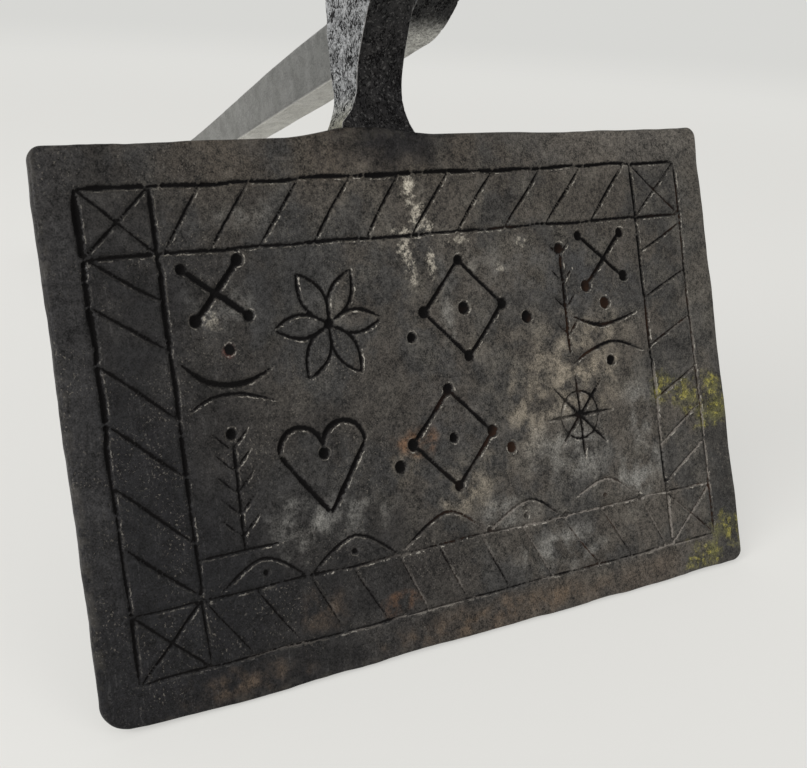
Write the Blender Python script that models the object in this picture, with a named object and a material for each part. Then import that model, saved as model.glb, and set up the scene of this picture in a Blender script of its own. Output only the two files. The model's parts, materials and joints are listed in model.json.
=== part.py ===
"""Hearth waffle iron: two forged halves that cross at a rivet, like tongs, with a link for the grips.

Each half is a carved plate, a neck with the pivot boss, and a long rein. A half is drawn in its own
frame with the iron shut: the rivet's axis is X, the reins run up +Z, and the seam between the two
carved faces is the plane Y = 0. The upper half is the lower one turned half round about Z, then
swung open about the rivet. The iron stands on its lower plate's edge and on the upper rein's tip.
"""

import math

import bmesh
import bpy
from mathutils import Matrix, Vector

# Plates, in metres
PLATE_WIDTH = 0.182
PLATE_HEIGHT = 0.120
PLATE_THICKNESS = 0.008
PLATE_CHAMFER = 0.0009
BACK_BEVEL_DEPTH = 0.0058
BACK_BEVEL_INSET = 0.0046
FACE_GAP = 0.001
CORNER_TOP_LEFT = 0.003
CORNER_TOP_RIGHT = 0.004
CORNER_BOTTOM_RIGHT = 0.005
CORNER_BOTTOM_LEFT = 0.008
CORNER_STEPS = 5
CORNER_LEAST_SHARE = 0.15

# Carving
MARGIN = 0.0088
BAND = 0.0149
LINE_WIDTH = 0.0017
LINE_DEPTH = 0.0009
FINE_WIDTH = 0.0012
FINE_DEPTH = 0.0006
DOT_WIDTH = 0.0032
DOT_DEPTH = 0.0012
CUT_OVERRUN = 0.0004
DOT_SIDES = 8
ARC_STEPS = 7
HATCHES_TOP = 10
HATCHES_BOTTOM = 11
HATCHES_SIDE = 6
HATCH_TOP_SHARE = 0.78
HATCH_BOTTOM_SHARE = 0.64
HATCH_LEFT_SHARE = 0.75
HATCH_RIGHT_SHARE = 0.6

# Places on the carved field, as shares of its half width and half height
CROSS_SHARES = ((-0.81, 0.76), (0.8, 0.75))
BOW_SHARES = ((-0.8, 0.36), (0.77, 0.36))
HOOD_SHARES = ((-0.8, 0.04), (0.77, 0.02))
TWIG_SHARES = (-0.82, -0.77, -0.12)
EAR_SHARES = (0.59, 0.1, 0.84)
ROSETTE_SHARES = (-0.42, 0.5)
HIGH_LOZENGE_SHARES = (0.13, 0.5)
LOW_LOZENGE_SHARES = (0.02, -0.34)
HEART_SHARES = (-0.5, -0.36)
STAR_SHARES = (0.6, -0.34)
DOT_SHARES = (
    (-0.79, 0.42), (0.785, 0.42), (-0.1, 0.35), (0.4, 0.39), (-0.21, -0.46), (0.27, -0.47), (0.78, 0.01),
)
CROSS_SIZE_SHARE = 0.18
BOW_WIDTH_SHARE = 0.155
BOW_DEPTH_SHARE = 0.15
ROSETTE_SIZE_SHARE = 0.38
PETAL_SHARE = 0.2
LOZENGE_WIDTH_SHARE = 0.17
LOZENGE_HEIGHT_SHARE = 0.32
HEART_SIZE_SHARE = 0.3
LOBE_SHARE = 0.35
STAR_SIZE_SHARE = 0.3
STAR_RING_SHARE = 0.55
BARB_SHARE = 0.12
ARCHES = 5
ARCH_FILL_SHARE = 0.9
ARCH_RISE_SHARE = 0.17
LATTICE_COLUMNS = 4
LATTICE_ROWS = 2
LATTICE_FILL_SHARE = 0.78

# Necks and pivot bosses
PIVOT_RISE = 0.039
ARM_WIDTH = 0.0122
ARM_GAP = 0.0006
NECK_INNER = 0.0028
NECK_OUTER = 0.0133
FLARE_RADIUS = 0.0065
NECK_FILLET_HEIGHT = 0.009
TONGUE_LENGTH = 0.034
TONGUE_TIP = 0.0012
TONGUE_STEPS = 7
TONGUE_ROUND_SHARE = 0.92
CROSSING_LENGTH = 0.040
CROSSING_SHIFT = 0.012
NECK_CHAMFER = 0.0009
NECK_STEP = 0.0028

# Reins
REIN_REACH = 0.354
REIN_START = 0.037
REIN_OUTER = 0.0159
REIN_ROOT_DEPTH = 0.0148
REIN_TIP_DEPTH = 0.0100
REIN_TAPER_LENGTH = 0.120
REIN_TIP_WIDTH = 0.0098
REIN_CHAMFER = 0.0012
REIN_STEPS = 14
REIN_SPACING_POWER = 1.6
SCARF_SLOPE = 0.9
KNOB_LENGTH = 0.020
KNOB_SWELL = 0.0014
KNOB_STEPS = 6
KNOB_PEAK_SHARE = 0.87
KNOB_END_POWER = 6

# Rivet, rove and closing link
RIVET_RADIUS = 0.0042
RIVET_CLEARANCE = 0.0001
HEAD_RADIUS = 0.0072
HEAD_HEIGHT = 0.0036
ROVE_RADIUS = 0.0076
ROVE_THICKNESS = 0.0016
ROUND_SIDES = 28
HEAD_STEPS = 4
HEAD_FLAT_SHARE = 0.4
LINK_RADIUS = 0.0026
LINK_SLACK = 0.0016
LINK_HALF_WIDTH = 0.0176
LINK_CORNER_RADIUS = 0.007
LINK_CORNER_STEPS = 5
LINK_SIDES = 10
EYE_RADIUS = 0.0094
EYE_HOLE_RADIUS = 0.0036
EYE_STEPS = 9
EYE_FULL_SHARE = 0.985

# Fits and the way it stands
SEAM = 0.0003
SHARP_ANGLE = math.radians(32)
OPEN_ANGLE = math.radians(91.4)
LEAN_ROUNDS = 4

PLATE_TOP = -PIVOT_RISE
PLATE_MIDDLE = PLATE_TOP - PLATE_HEIGHT / 2
FACE = FACE_GAP / 2
PLATE_BACK = FACE + PLATE_THICKNESS
ARM_INNER = ARM_GAP / 2
ARM_OUTER = ARM_INNER + ARM_WIDTH
ARM_MIDDLE = (ARM_INNER + ARM_OUTER) / 2
FIELD_X = PLATE_WIDTH / 2 - MARGIN - BAND
FIELD_Y = PLATE_HEIGHT / 2 - MARGIN - BAND
BORDER_X = FIELD_X + BAND
BORDER_Y = FIELD_Y + BAND


def clear_scene():
    for thing in list(bpy.data.objects):
        bpy.data.objects.remove(thing, do_unlink=True)


def add_material(name, colour, roughness, metallic):
    material = bpy.data.materials.new(name)
    material.use_nodes = True
    shader = material.node_tree.nodes["Principled BSDF"]
    shader.inputs["Base Color"].default_value = (*colour, 1)
    shader.inputs["Roughness"].default_value = roughness
    shader.inputs["Metallic"].default_value = metallic
    return material


def plate_iron():
    """Blackened by fat and smoke, brown at the rims."""
    return add_material("plate_iron", (0.035, 0.031, 0.027), 0.6, 0.7)


def neck_iron():
    """Pitted forge scale, greyer than the plates."""
    return add_material("neck_iron", (0.08, 0.08, 0.085), 0.55, 0.8)


def rein_iron():
    """Handled smooth and grey."""
    return add_material("rein_iron", (0.16, 0.16, 0.155), 0.5, 0.8)


def rivet_iron():
    """Hammered bright on the high spots."""
    return add_material("rivet_iron", (0.11, 0.105, 0.10), 0.5, 0.8)


def blend(low, high, value):
    """A smooth step from 0 at low to 1 at high."""
    t = min(max((value - low) / (high - low), 0), 1)
    return t * t * (3 - 2 * t)


def mix(a, b, share):
    return a + (b - a) * share


def add_object(name, bm, material, parent, smooth=True):
    mesh = bpy.data.meshes.new(name)
    bmesh.ops.recalc_face_normals(bm, faces=bm.faces[:])
    bm.to_mesh(mesh)
    bm.free()
    mesh.materials.append(material)
    if smooth:
        mesh.shade_smooth()
        mesh.set_sharp_from_angle(angle=SHARP_ANGLE)
    thing = bpy.data.objects.new(name, mesh)
    bpy.context.collection.objects.link(thing)
    thing.parent = parent
    return thing


def add_cutter(name, bm, target, crosses_itself=False):
    cutter = add_object(name, bm, target.data.materials[0], target.parent, not crosses_itself)
    cutter.location = target.location
    cutter.rotation_euler = target.rotation_euler
    cutter.hide_render = True
    cutter.display_type = "WIRE"
    cut = target.modifiers.new("cut_" + name, "BOOLEAN")
    cut.operation = "DIFFERENCE"
    cut.solver = "EXACT"
    cut.use_self = crosses_itself
    cut.object = cutter
    return cutter


def join_rings(bm, rings, closed=False):
    """Quads between rings of equal length, with flat ends unless the row of rings is closed."""
    rows = [[bm.verts.new(point) for point in ring] for ring in rings]
    pairs = list(zip(rows, rows[1:]))
    if closed:
        pairs.append((rows[-1], rows[0]))
    for low, high in pairs:
        for i in range(len(low)):
            after = (i + 1) % len(low)
            bm.faces.new((low[i], low[after], high[after], high[i]))
    if not closed:
        bm.faces.new(rows[0])
        bm.faces.new(rows[-1])


def bar_section(z, x_low, x_high, y_low, y_high, chamfer, slope=0.0):
    """A chamfered rectangle across a bar that runs along Z. The slope tips it, as a scarf is cut."""
    c = min(chamfer, (x_high - x_low) / 3, (y_high - y_low) / 3)
    corners = (
        (x_low + c, y_low), (x_high - c, y_low), (x_high, y_low + c), (x_high, y_high - c),
        (x_high - c, y_high), (x_low + c, y_high), (x_low, y_high - c), (x_low, y_low + c),
    )
    middle = (y_low + y_high) / 2
    return [(x, y, z + slope * (y - middle)) for x, y in corners]


def outline(inset):
    """The plate's edge as points (x, z) about its middle, drawn in by the inset."""
    half_x = PLATE_WIDTH / 2 - inset
    half_z = PLATE_HEIGHT / 2 - inset
    corners = (
        (1, 1, CORNER_TOP_RIGHT, 0), (-1, 1, CORNER_TOP_LEFT, 1),
        (-1, -1, CORNER_BOTTOM_LEFT, 2), (1, -1, CORNER_BOTTOM_RIGHT, 3),
    )
    points = []
    for side_x, side_z, radius, quarter in corners:
        r = max(radius - inset, radius * CORNER_LEAST_SHARE)
        for step in range(CORNER_STEPS + 1):
            angle = math.pi / 2 * (quarter + step / CORNER_STEPS)
            x = side_x * (half_x - r) + r * math.cos(angle)
            z = side_z * (half_z - r) + r * math.sin(angle)
            points.append((x, z))
    return points


def add_plate(name, material, parent):
    layers = (
        (PLATE_CHAMFER, FACE), (0, FACE + PLATE_CHAMFER),
        (0, PLATE_BACK - BACK_BEVEL_DEPTH), (BACK_BEVEL_INSET, PLATE_BACK),
    )
    bm = bmesh.new()
    join_rings(bm, [[(x, y, PLATE_MIDDLE + z) for x, z in outline(inset)] for inset, y in layers])
    return add_object(name, bm, material, parent, smooth=False)


def stroke(points, width=LINE_WIDTH, depth=LINE_DEPTH):
    return points, width, depth


def fine(points):
    return stroke(points, FINE_WIDTH, FINE_DEPTH)


def arc(centre, radius_x, radius_z, start, end, steps=ARC_STEPS):
    """Points on an ellipse, with its angles in degrees from the right, turning up."""
    angles = [math.radians(mix(start, end, i / steps)) for i in range(steps + 1)]
    return [(centre[0] + radius_x * math.cos(a), centre[1] + radius_z * math.sin(a)) for a in angles]


def border_strokes():
    """Two lines on each side that run on to the outer ones, so that the corners become boxes."""
    strokes = []
    for z in (-BORDER_Y, -FIELD_Y, FIELD_Y, BORDER_Y):
        strokes.append(stroke([(-BORDER_X, z), (BORDER_X, z)]))
    for x in (-BORDER_X, -FIELD_X, FIELD_X, BORDER_X):
        strokes.append(stroke([(x, -BORDER_Y), (x, BORDER_Y)]))
    for side_x in (-1, 1):
        for side_z in (-1, 1):
            inner = (side_x * FIELD_X, side_z * FIELD_Y)
            outer = (side_x * BORDER_X, side_z * BORDER_Y)
            strokes.append(fine([inner, outer]))
            strokes.append(fine([(inner[0], outer[1]), (outer[0], inner[1])]))
    return strokes


def hatch_strokes():
    """Slanting lines that fill the band, each side with its own slant."""
    strokes = []
    for i in range(HATCHES_TOP):
        x = mix(-FIELD_X, FIELD_X, i / HATCHES_TOP)
        strokes.append(fine([(x, FIELD_Y), (x + HATCH_TOP_SHARE * BAND, BORDER_Y)]))
    for i in range(HATCHES_BOTTOM):
        x = mix(-FIELD_X, FIELD_X, i / HATCHES_BOTTOM)
        strokes.append(fine([(x, -FIELD_Y), (x + HATCH_BOTTOM_SHARE * BAND, -BORDER_Y)]))
    for i in range(HATCHES_SIDE):
        high = mix(FIELD_Y, -FIELD_Y, i / HATCHES_SIDE)
        strokes.append(fine([(-BORDER_X, high), (-FIELD_X, high - HATCH_LEFT_SHARE * BAND)]))
        low = mix(-FIELD_Y, FIELD_Y, i / HATCHES_SIDE)
        strokes.append(fine([(FIELD_X, low), (BORDER_X, low + HATCH_RIGHT_SHARE * BAND)]))
    return strokes


def place(shares):
    """A point of the field from its shares of the half width and half height."""
    return shares[0] * FIELD_X, shares[1] * FIELD_Y


def dotted_cross(centre):
    x, z = centre
    half = CROSS_SIZE_SHARE * FIELD_Y
    ends = [(x + side_x * half, z + side_z * half) for side_x in (-1, 1) for side_z in (-1, 1)]
    return [stroke([ends[0], ends[3]]), stroke([ends[1], ends[2]])], ends


def rosette(centre, petals=6):
    """Petals struck with a compass: each is two shallow arcs from the middle to the rim."""
    radius = ROSETTE_SIZE_SHARE * FIELD_Y
    strokes = []
    for i in range(petals):
        turn = math.tau * i / petals
        for side in (-1, 1):
            points = []
            for step in range(ARC_STEPS + 1):
                t = step / ARC_STEPS
                out, across = radius * t, side * radius * PETAL_SHARE * math.sin(math.pi * t)
                points.append((
                    centre[0] + out * math.cos(turn) - across * math.sin(turn),
                    centre[1] + out * math.sin(turn) + across * math.cos(turn),
                ))
            strokes.append(fine(points))
    return strokes, [centre]


def lozenge(centre, half_x, half_z):
    x, z = centre
    points = [(x + half_x, z), (x, z + half_z), (x - half_x, z), (x, z - half_z)]
    strokes = [stroke([points[i], points[(i + 1) % 4]]) for i in range(4)]
    return strokes, points + [centre]


def heart(centre):
    """Two straight sides that meet in a point, with two lobes above."""
    x, z = centre
    half = HEART_SIZE_SHARE * FIELD_Y
    spring = z + half * LOBE_SHARE
    strokes = []
    for side in (-1, 1):
        lobe = arc((x + side * half / 2, spring), half / 2, half / 2, 90 - side * 90, 90 + side * 90)
        strokes.append(stroke(lobe))
        strokes.append(stroke([(x + side * half, spring), (x, z - half)]))
    return strokes, [centre]


def star(centre, rays=8):
    radius = STAR_SIZE_SHARE * FIELD_Y
    strokes = []
    for i in range(rays // 2):
        angle = math.pi * i / (rays // 2)
        x, z = radius * math.cos(angle), radius * math.sin(angle)
        strokes.append(fine([(centre[0] - x, centre[1] - z), (centre[0] + x, centre[1] + z)]))
    ring = radius * STAR_RING_SHARE
    strokes.append(fine(arc(centre, ring, ring, 0, 360, 2 * ARC_STEPS)))
    return strokes, []


def twig(shares, pairs):
    """A stem with paired barbs, as an ear of grain is drawn."""
    x, low = place(shares[:2])
    high = shares[2] * FIELD_Y
    reach = BARB_SHARE * FIELD_Y
    strokes = [fine([(x, low), (x, high)])]
    for i in range(pairs):
        z = mix(low, high, (i + 1) / (pairs + 1))
        for side in (-1, 1):
            strokes.append(fine([(x, z), (x + side * reach, z + reach)]))
    return strokes, [(x, high)]


def bow(centre, start, end):
    """A broad shallow arc, hung or arched by its two angles."""
    return [stroke(arc(centre, BOW_WIDTH_SHARE * FIELD_X, BOW_DEPTH_SHARE * FIELD_Y, start, end))], []


def arch_row():
    """A row of low arches that stands on the field's lower line, with a dot in each."""
    pitch = 2 * FIELD_X / ARCHES
    half, rise = ARCH_FILL_SHARE * pitch / 2, ARCH_RISE_SHARE * FIELD_Y
    strokes, dots = [], []
    for i in range(ARCHES):
        x = -FIELD_X + pitch * (i + 1 / 2)
        strokes.append(fine(arc((x, -FIELD_Y), half, rise, 180, 0)))
        dots.append((x, -FIELD_Y + rise / 2))
    return strokes, dots


def lower_motifs():
    """Crosses, bows, a twig and arches round the edge of the field, and six plain motifs within."""
    lozenge_x, lozenge_z = LOZENGE_WIDTH_SHARE * FIELD_X, LOZENGE_HEIGHT_SHARE * FIELD_Y
    groups = [
        rosette(place(ROSETTE_SHARES)),
        lozenge(place(HIGH_LOZENGE_SHARES), lozenge_x, lozenge_z),
        twig(EAR_SHARES, pairs=4),
        heart(place(HEART_SHARES)),
        lozenge(place(LOW_LOZENGE_SHARES), lozenge_x, lozenge_z),
        star(place(STAR_SHARES)),
        twig(TWIG_SHARES, pairs=5),
        arch_row(),
        ([], [place(shares) for shares in DOT_SHARES]),
    ]
    groups += [dotted_cross(place(shares)) for shares in CROSS_SHARES]
    groups += [bow(place(shares), 200, 340) for shares in BOW_SHARES]
    groups += [bow(place(shares), 160, 20) for shares in HOOD_SHARES]
    return groups


def upper_motifs():
    """A lattice of lozenges with a dot in each, and a rosette in the middle."""
    half_x, half_z = FIELD_X / LATTICE_COLUMNS, FIELD_Y / LATTICE_ROWS
    groups = [rosette((0, 0))]
    for i in range(LATTICE_COLUMNS):
        for j in range(LATTICE_ROWS):
            centre = (half_x * (2 * i + 1) - FIELD_X, half_z * (2 * j + 1) - FIELD_Y)
            groups.append(lozenge(centre, half_x * LATTICE_FILL_SHARE, half_z * LATTICE_FILL_SHARE))
    return groups


def groove(bm, points, width, depth):
    """A V-shaped body along the points, broadest over the plate's face, with shallow ends."""
    spots = [Vector(point) for point in points]
    rings = []
    for i, spot in enumerate(spots):
        along = (spots[min(i + 1, len(spots) - 1)] - spots[max(i - 1, 0)]).normalized()
        across = Vector((-along.y, along.x)) * width / 2 * (1 + CUT_OVERRUN / depth)
        left, right = spot + across, spot - across
        rings.append((
            (left.x, FACE - CUT_OVERRUN, PLATE_MIDDLE + left.y),
            (right.x, FACE - CUT_OVERRUN, PLATE_MIDDLE + right.y),
            (spot.x, FACE + depth, PLATE_MIDDLE + spot.y),
        ))
    join_rings(bm, rings)


def punch(bm, x, z):
    """A cone with its point in the plate."""
    reach = DOT_DEPTH + CUT_OVERRUN
    cone = bmesh.ops.create_cone(
        bm, cap_ends=True, segments=DOT_SIDES, radius2=0, depth=reach,
        radius1=DOT_WIDTH / 2 * reach / DOT_DEPTH,
    )
    middle = Vector((x, FACE - CUT_OVERRUN + reach / 2, PLATE_MIDDLE + z))
    place = Matrix.Translation(middle) @ Matrix.Rotation(-math.pi / 2, 4, "X")
    bmesh.ops.transform(bm, matrix=place, verts=cone["verts"])


def carve(plate, name, groups):
    strokes = border_strokes() + hatch_strokes()
    dots = []
    for more_strokes, more_dots in groups:
        strokes += more_strokes
        dots += more_dots
    bm = bmesh.new()
    for points, width, depth in strokes:
        groove(bm, points, width, depth)
    for x, z in dots:
        punch(bm, x, z)
    add_cutter(name, bm, plate, crosses_itself=True)


def neck_inner_face(z):
    """Y of the face that sweeps across the seam, from the plate's side to the rein's."""
    crossing = blend(-CROSSING_SHIFT - CROSSING_LENGTH / 2, -CROSSING_SHIFT + CROSSING_LENGTH / 2, z)
    y = mix(NECK_INNER, -REIN_OUTER, crossing)
    rise = min(max((z - PLATE_TOP) / NECK_FILLET_HEIGHT, 0), 1)
    return y - (NECK_INNER - FACE) * (1 - rise) ** 2


def neck_outer_face(z):
    """Y of the opposite face, which crosses above the rivet as the other does below it."""
    crossing = blend(CROSSING_SHIFT - CROSSING_LENGTH / 2, CROSSING_SHIFT + CROSSING_LENGTH / 2, z)
    return mix(NECK_OUTER, REIN_ROOT_DEPTH - REIN_OUTER, crossing)


def flare(z):
    """How far the neck's sides swing out where it meets the plate."""
    rise = min(max(z - PLATE_TOP, 0), FLARE_RADIUS)
    return FLARE_RADIUS - math.sqrt(FLARE_RADIUS**2 - (FLARE_RADIUS - rise) ** 2)


def tongue_sections():
    """The tongue that laps the plate's back and thins to a rounded tip."""
    sections = []
    for i in range(TONGUE_STEPS):
        share = 1 - i / TONGUE_STEPS
        spread = (ARM_WIDTH / 2 + FLARE_RADIUS) * math.sqrt(1 - TONGUE_ROUND_SHARE * share**2)
        height = mix(NECK_OUTER - PLATE_BACK - SEAM, TONGUE_TIP, share)
        low = PLATE_BACK + SEAM
        sections.append(bar_section(
            PLATE_TOP - TONGUE_LENGTH * share,
            -ARM_MIDDLE - spread, -ARM_MIDDLE + spread, low, low + height, NECK_CHAMFER,
        ))
    return sections


def add_neck(name, material, parent):
    """Tongue, shoulder, neck and boss in one forging, with a tipped end where the rein is welded on."""
    sections = tongue_sections()
    z = PLATE_TOP + SEAM
    sections.append(bar_section(
        z - SEAM / 2, -ARM_OUTER - flare(z), -ARM_INNER + flare(z),
        PLATE_BACK + SEAM, NECK_OUTER, NECK_CHAMFER,
    ))
    last = REIN_START - SCARF_SLOPE * REIN_ROOT_DEPTH / 2 - NECK_STEP
    steps = round((last - z) / NECK_STEP)
    for i in range(steps + 1):
        level = mix(z, last, i / steps)
        sections.append(bar_section(
            level, -ARM_OUTER - flare(level), -ARM_INNER + flare(level),
            neck_inner_face(level), neck_outer_face(level), NECK_CHAMFER,
        ))
    sections.append(bar_section(
        REIN_START, -ARM_OUTER, -ARM_INNER, -REIN_OUTER, REIN_ROOT_DEPTH - REIN_OUTER,
        REIN_CHAMFER, -SCARF_SLOPE,
    ))
    bm = bmesh.new()
    join_rings(bm, sections)
    neck = add_object(name, bm, material, parent)
    drill(neck, name + "_rivet_hole", (0, 0, 0), RIVET_RADIUS + RIVET_CLEARANCE)
    return neck


def drill(target, name, middle, radius):
    """A hole along X, right through one arm."""
    bm = bmesh.new()
    place = Matrix.Translation(middle) @ Matrix.Rotation(math.pi / 2, 4, "Y")
    bmesh.ops.create_cone(
        bm, cap_ends=True, segments=ROUND_SIDES, radius1=radius, radius2=radius,
        depth=4 * ARM_WIDTH, matrix=place,
    )
    add_cutter(name, bm, target)


def rein_depth(z):
    return mix(REIN_ROOT_DEPTH, REIN_TIP_DEPTH, blend(REIN_START, REIN_START + REIN_TAPER_LENGTH, z))


def rein_section(z, swell=0.0, slope=0.0):
    """The rein's outer face runs straight, and it thins and narrows away from the boss."""
    depth = rein_depth(z)
    width = mix(ARM_WIDTH, REIN_TIP_WIDTH, blend(REIN_START, REIN_REACH / 2, z))
    return bar_section(
        z, -ARM_MIDDLE - width / 2 - swell, -ARM_MIDDLE + width / 2 + swell,
        -REIN_OUTER - swell, depth - REIN_OUTER + swell, REIN_CHAMFER + swell / 2, slope,
    )


def rein_shaft(end):
    """Sections from the scarf up to the start of the rein's end."""
    first = REIN_START + SCARF_SLOPE * REIN_ROOT_DEPTH / 2 + NECK_STEP
    sections = [rein_section(REIN_START + SEAM, 0.0, -SCARF_SLOPE)]
    for i in range(REIN_STEPS + 1):
        share = i / REIN_STEPS
        sections.append(rein_section(mix(first, end, share**REIN_SPACING_POWER)))
    return sections


def eye_middle():
    """Where the link's bar hangs through the lower rein."""
    return Vector((-ARM_MIDDLE, REIN_TIP_DEPTH / 2 - REIN_OUTER, REIN_REACH - EYE_RADIUS))


def add_lower_rein(name, material, parent):
    """The end is hammered to a round eye for the closing link."""
    middle = eye_middle()
    spring = math.sqrt(EYE_RADIUS**2 - (REIN_TIP_DEPTH / 2) ** 2)
    sections = rein_shaft(middle.z - spring - KNOB_LENGTH / 2)
    for i in range(EYE_STEPS + 1):
        rise = mix(-spring, EYE_RADIUS * EYE_FULL_SHARE, i / EYE_STEPS)
        half = math.sqrt(EYE_RADIUS**2 - rise**2)
        sections.append(bar_section(
            middle.z + rise, -ARM_MIDDLE - REIN_TIP_WIDTH / 2, -ARM_MIDDLE + REIN_TIP_WIDTH / 2,
            middle.y - half, middle.y + half, REIN_CHAMFER,
        ))
    bm = bmesh.new()
    join_rings(bm, sections)
    rein = add_object(name, bm, material, parent)
    drill(rein, name + "_link_hole", middle, EYE_HOLE_RADIUS)
    return rein


def add_upper_rein(name, material, parent):
    """The end is upset to a small knob, so that the link doesn't slip off it."""
    sections = rein_shaft(REIN_REACH - KNOB_LENGTH)
    for i in range(1, KNOB_STEPS + 1):
        share = i / KNOB_STEPS
        swell = KNOB_SWELL * (math.sin(math.pi * min(share / KNOB_PEAK_SHARE, 1)) - share**KNOB_END_POWER)
        sections.append(rein_section(REIN_REACH - KNOB_LENGTH * (1 - share), swell))
    bm = bmesh.new()
    join_rings(bm, sections)
    return add_object(name, bm, material, parent)


def turned(profile, name, material, parent):
    """A body of revolution about X from points (x, radius)."""
    angles = [math.tau * i / ROUND_SIDES for i in range(ROUND_SIDES)]
    bm = bmesh.new()
    join_rings(bm, [[(x, r * math.cos(a), r * math.sin(a)) for a in angles] for x, r in profile])
    return add_object(name, bm, material, parent)


def head_profile(start, side):
    """A domed head that rises from the start, outwards along X to the given side."""
    profile = [(start, HEAD_RADIUS)]
    for i in range(1, HEAD_STEPS + 1):
        angle = math.pi / 2 * i / (HEAD_STEPS + HEAD_FLAT_SHARE)
        profile.append((start + side * HEAD_HEIGHT * math.sin(angle), HEAD_RADIUS * math.cos(angle)))
    return profile


def add_rivet(material, parent):
    """The shank holds both bosses between a forged head and one that is peened over the rove."""
    left = -ARM_OUTER - SEAM
    right = ARM_OUTER + 2 * SEAM + ROVE_THICKNESS
    profile = head_profile(left, -1)[::-1] + [(left, RIVET_RADIUS), (right, RIVET_RADIUS)]
    return turned(profile + head_profile(right, 1), "pivot_rivet", material, parent)


def add_rove(material, parent):
    """A forged ring under the peened head."""
    low = ARM_OUTER + SEAM
    high = low + ROVE_THICKNESS
    inner = RIVET_RADIUS + RIVET_CLEARANCE
    angles = [math.tau * i / ROUND_SIDES for i in range(ROUND_SIDES)]
    loop = ((low, inner), (low, ROVE_RADIUS), (high, ROVE_RADIUS), (high, inner))
    bm = bmesh.new()
    join_rings(bm, [[(x, r * math.cos(a), r * math.sin(a)) for x, r in loop] for a in angles], closed=True)
    return add_object("rivet_rove", bm, material, parent)


def link_length():
    """From the bar in the eye to the bar that holds the other rein, with the iron shut."""
    return 2 * REIN_OUTER - REIN_TIP_DEPTH / 2 + LINK_RADIUS + LINK_SLACK


def link_path():
    """The loop's middle line, as points with the way along it, in the plane Y = 0."""
    half, length, r = LINK_HALF_WIDTH, link_length(), LINK_CORNER_RADIUS
    corners = ((half, 0, 0), (-half, 0, 1), (-half, -length, 2), (half, -length, 3))
    path = []
    for x, z, quarter in corners:
        middle_x = x - math.copysign(r, x)
        middle_z = z - r if z == 0 else z + r
        for step in range(LINK_CORNER_STEPS + 1):
            angle = math.pi / 2 * (quarter + step / LINK_CORNER_STEPS)
            out = Vector((math.cos(angle), 0, math.sin(angle)))
            path.append((Vector((middle_x, 0, middle_z)) + r * out, out))
    return path


def add_closing_link(material, parent, lean):
    """A forged loop that hangs from the lower rein and slips over the upper one."""
    angles = [math.tau * i / LINK_SIDES for i in range(LINK_SIDES)]
    side = Vector((0, 1, 0))
    rings = []
    for spot, out in link_path():
        rings.append([spot + LINK_RADIUS * (math.cos(a) * out + math.sin(a) * side) for a in angles])
    bm = bmesh.new()
    join_rings(bm, rings, closed=True)
    link = add_object("closing_link", bm, material, parent)
    hang = EYE_HOLE_RADIUS - LINK_RADIUS - SEAM
    down = Vector((0, math.sin(lean), -math.cos(lean)))
    link.location = eye_middle() * Vector((0, 1, 1)) + hang * down
    link.rotation_euler.x = lean
    return link


def add_half(pieces, tag, motifs, parent, add_rein):
    plate = add_plate(tag + "_plate", pieces["plate"], parent)
    carve(plate, tag + "_carving", motifs)
    neck = add_neck(tag + "_neck", pieces["neck"], parent)
    rein = add_rein(tag + "_rein", pieces["rein"], parent)
    return [plate, neck, rein]


def world_points(thing):
    graph = bpy.context.evaluated_depsgraph_get()
    mesh = thing.evaluated_get(graph).data
    return [thing.matrix_world @ vertex.co for vertex in mesh.vertices]


def find_lean(foot_points, tip_points):
    """The lean at which the plate's lowest edge and the upper rein's lowest point are level."""
    lean = 0.0
    for _ in range(LEAN_ROUNDS):
        turn = Matrix.Rotation(-lean, 3, "X")
        foot = min(foot_points, key=lambda point: (turn @ point).z)
        tip = min(tip_points, key=lambda point: (turn @ point).z)
        lean = math.atan2(tip.z - foot.z, tip.y - foot.y)
    return lean


def set_down(root, things):
    """Puts the lowest point on the ground and the middle of the whole over the origin."""
    bpy.context.view_layer.update()
    points = [point for thing in things for point in world_points(thing)]
    for axis in range(2):
        low = min(point[axis] for point in points)
        high = max(point[axis] for point in points)
        root.location[axis] -= (low + high) / 2
    root.location.z -= min(point.z for point in points)
    bpy.context.view_layer.update()


def add_empty(name, parent=None):
    empty = bpy.data.objects.new(name, None)
    empty.empty_display_size = PIVOT_RISE
    empty.parent = parent
    bpy.context.collection.objects.link(empty)
    return empty


def build():
    clear_scene()
    materials = {"plate": plate_iron(), "neck": neck_iron(), "rein": rein_iron(), "rivet": rivet_iron()}
    lower = add_empty("lower_half")
    upper = add_empty("upper_half", lower)
    lower_things = add_half(materials, "lower", lower_motifs(), lower, add_lower_rein)
    upper_things = add_half(materials, "upper", upper_motifs(), upper, add_upper_rein)
    upper.matrix_local = Matrix.Rotation(-OPEN_ANGLE, 4, "X") @ Matrix.Rotation(math.pi, 4, "Z")
    bpy.context.view_layer.update()
    lean = find_lean(world_points(lower_things[0]), world_points(upper_things[2]))
    lower.rotation_euler.x = -lean
    rivet = add_rivet(materials["rivet"], lower)
    rove = add_rove(materials["rivet"], lower)
    link = add_closing_link(materials["rein"], lower, lean)
    set_down(lower, lower_things + upper_things + [rivet, rove, link])
    print(f"lean {math.degrees(lean):.2f} degrees, rivet at", tuple(round(x, 5) for x in lower.location))


build()
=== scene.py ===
# %% [markdown]
# # A hearth waffle iron
# The iron is a pair of long tongs with a carved plate on each jaw. This notebook dresses the packed
# solids in the look of old forged iron: chiselled plates, pitted necks and handled reins. The packed
# model is the frame, so every piece here is built where its solid already is.

# %% Load the frame
import json
import math

import bmesh
import bpy
import numpy as np
from mathutils import Euler, Matrix, Vector


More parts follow.
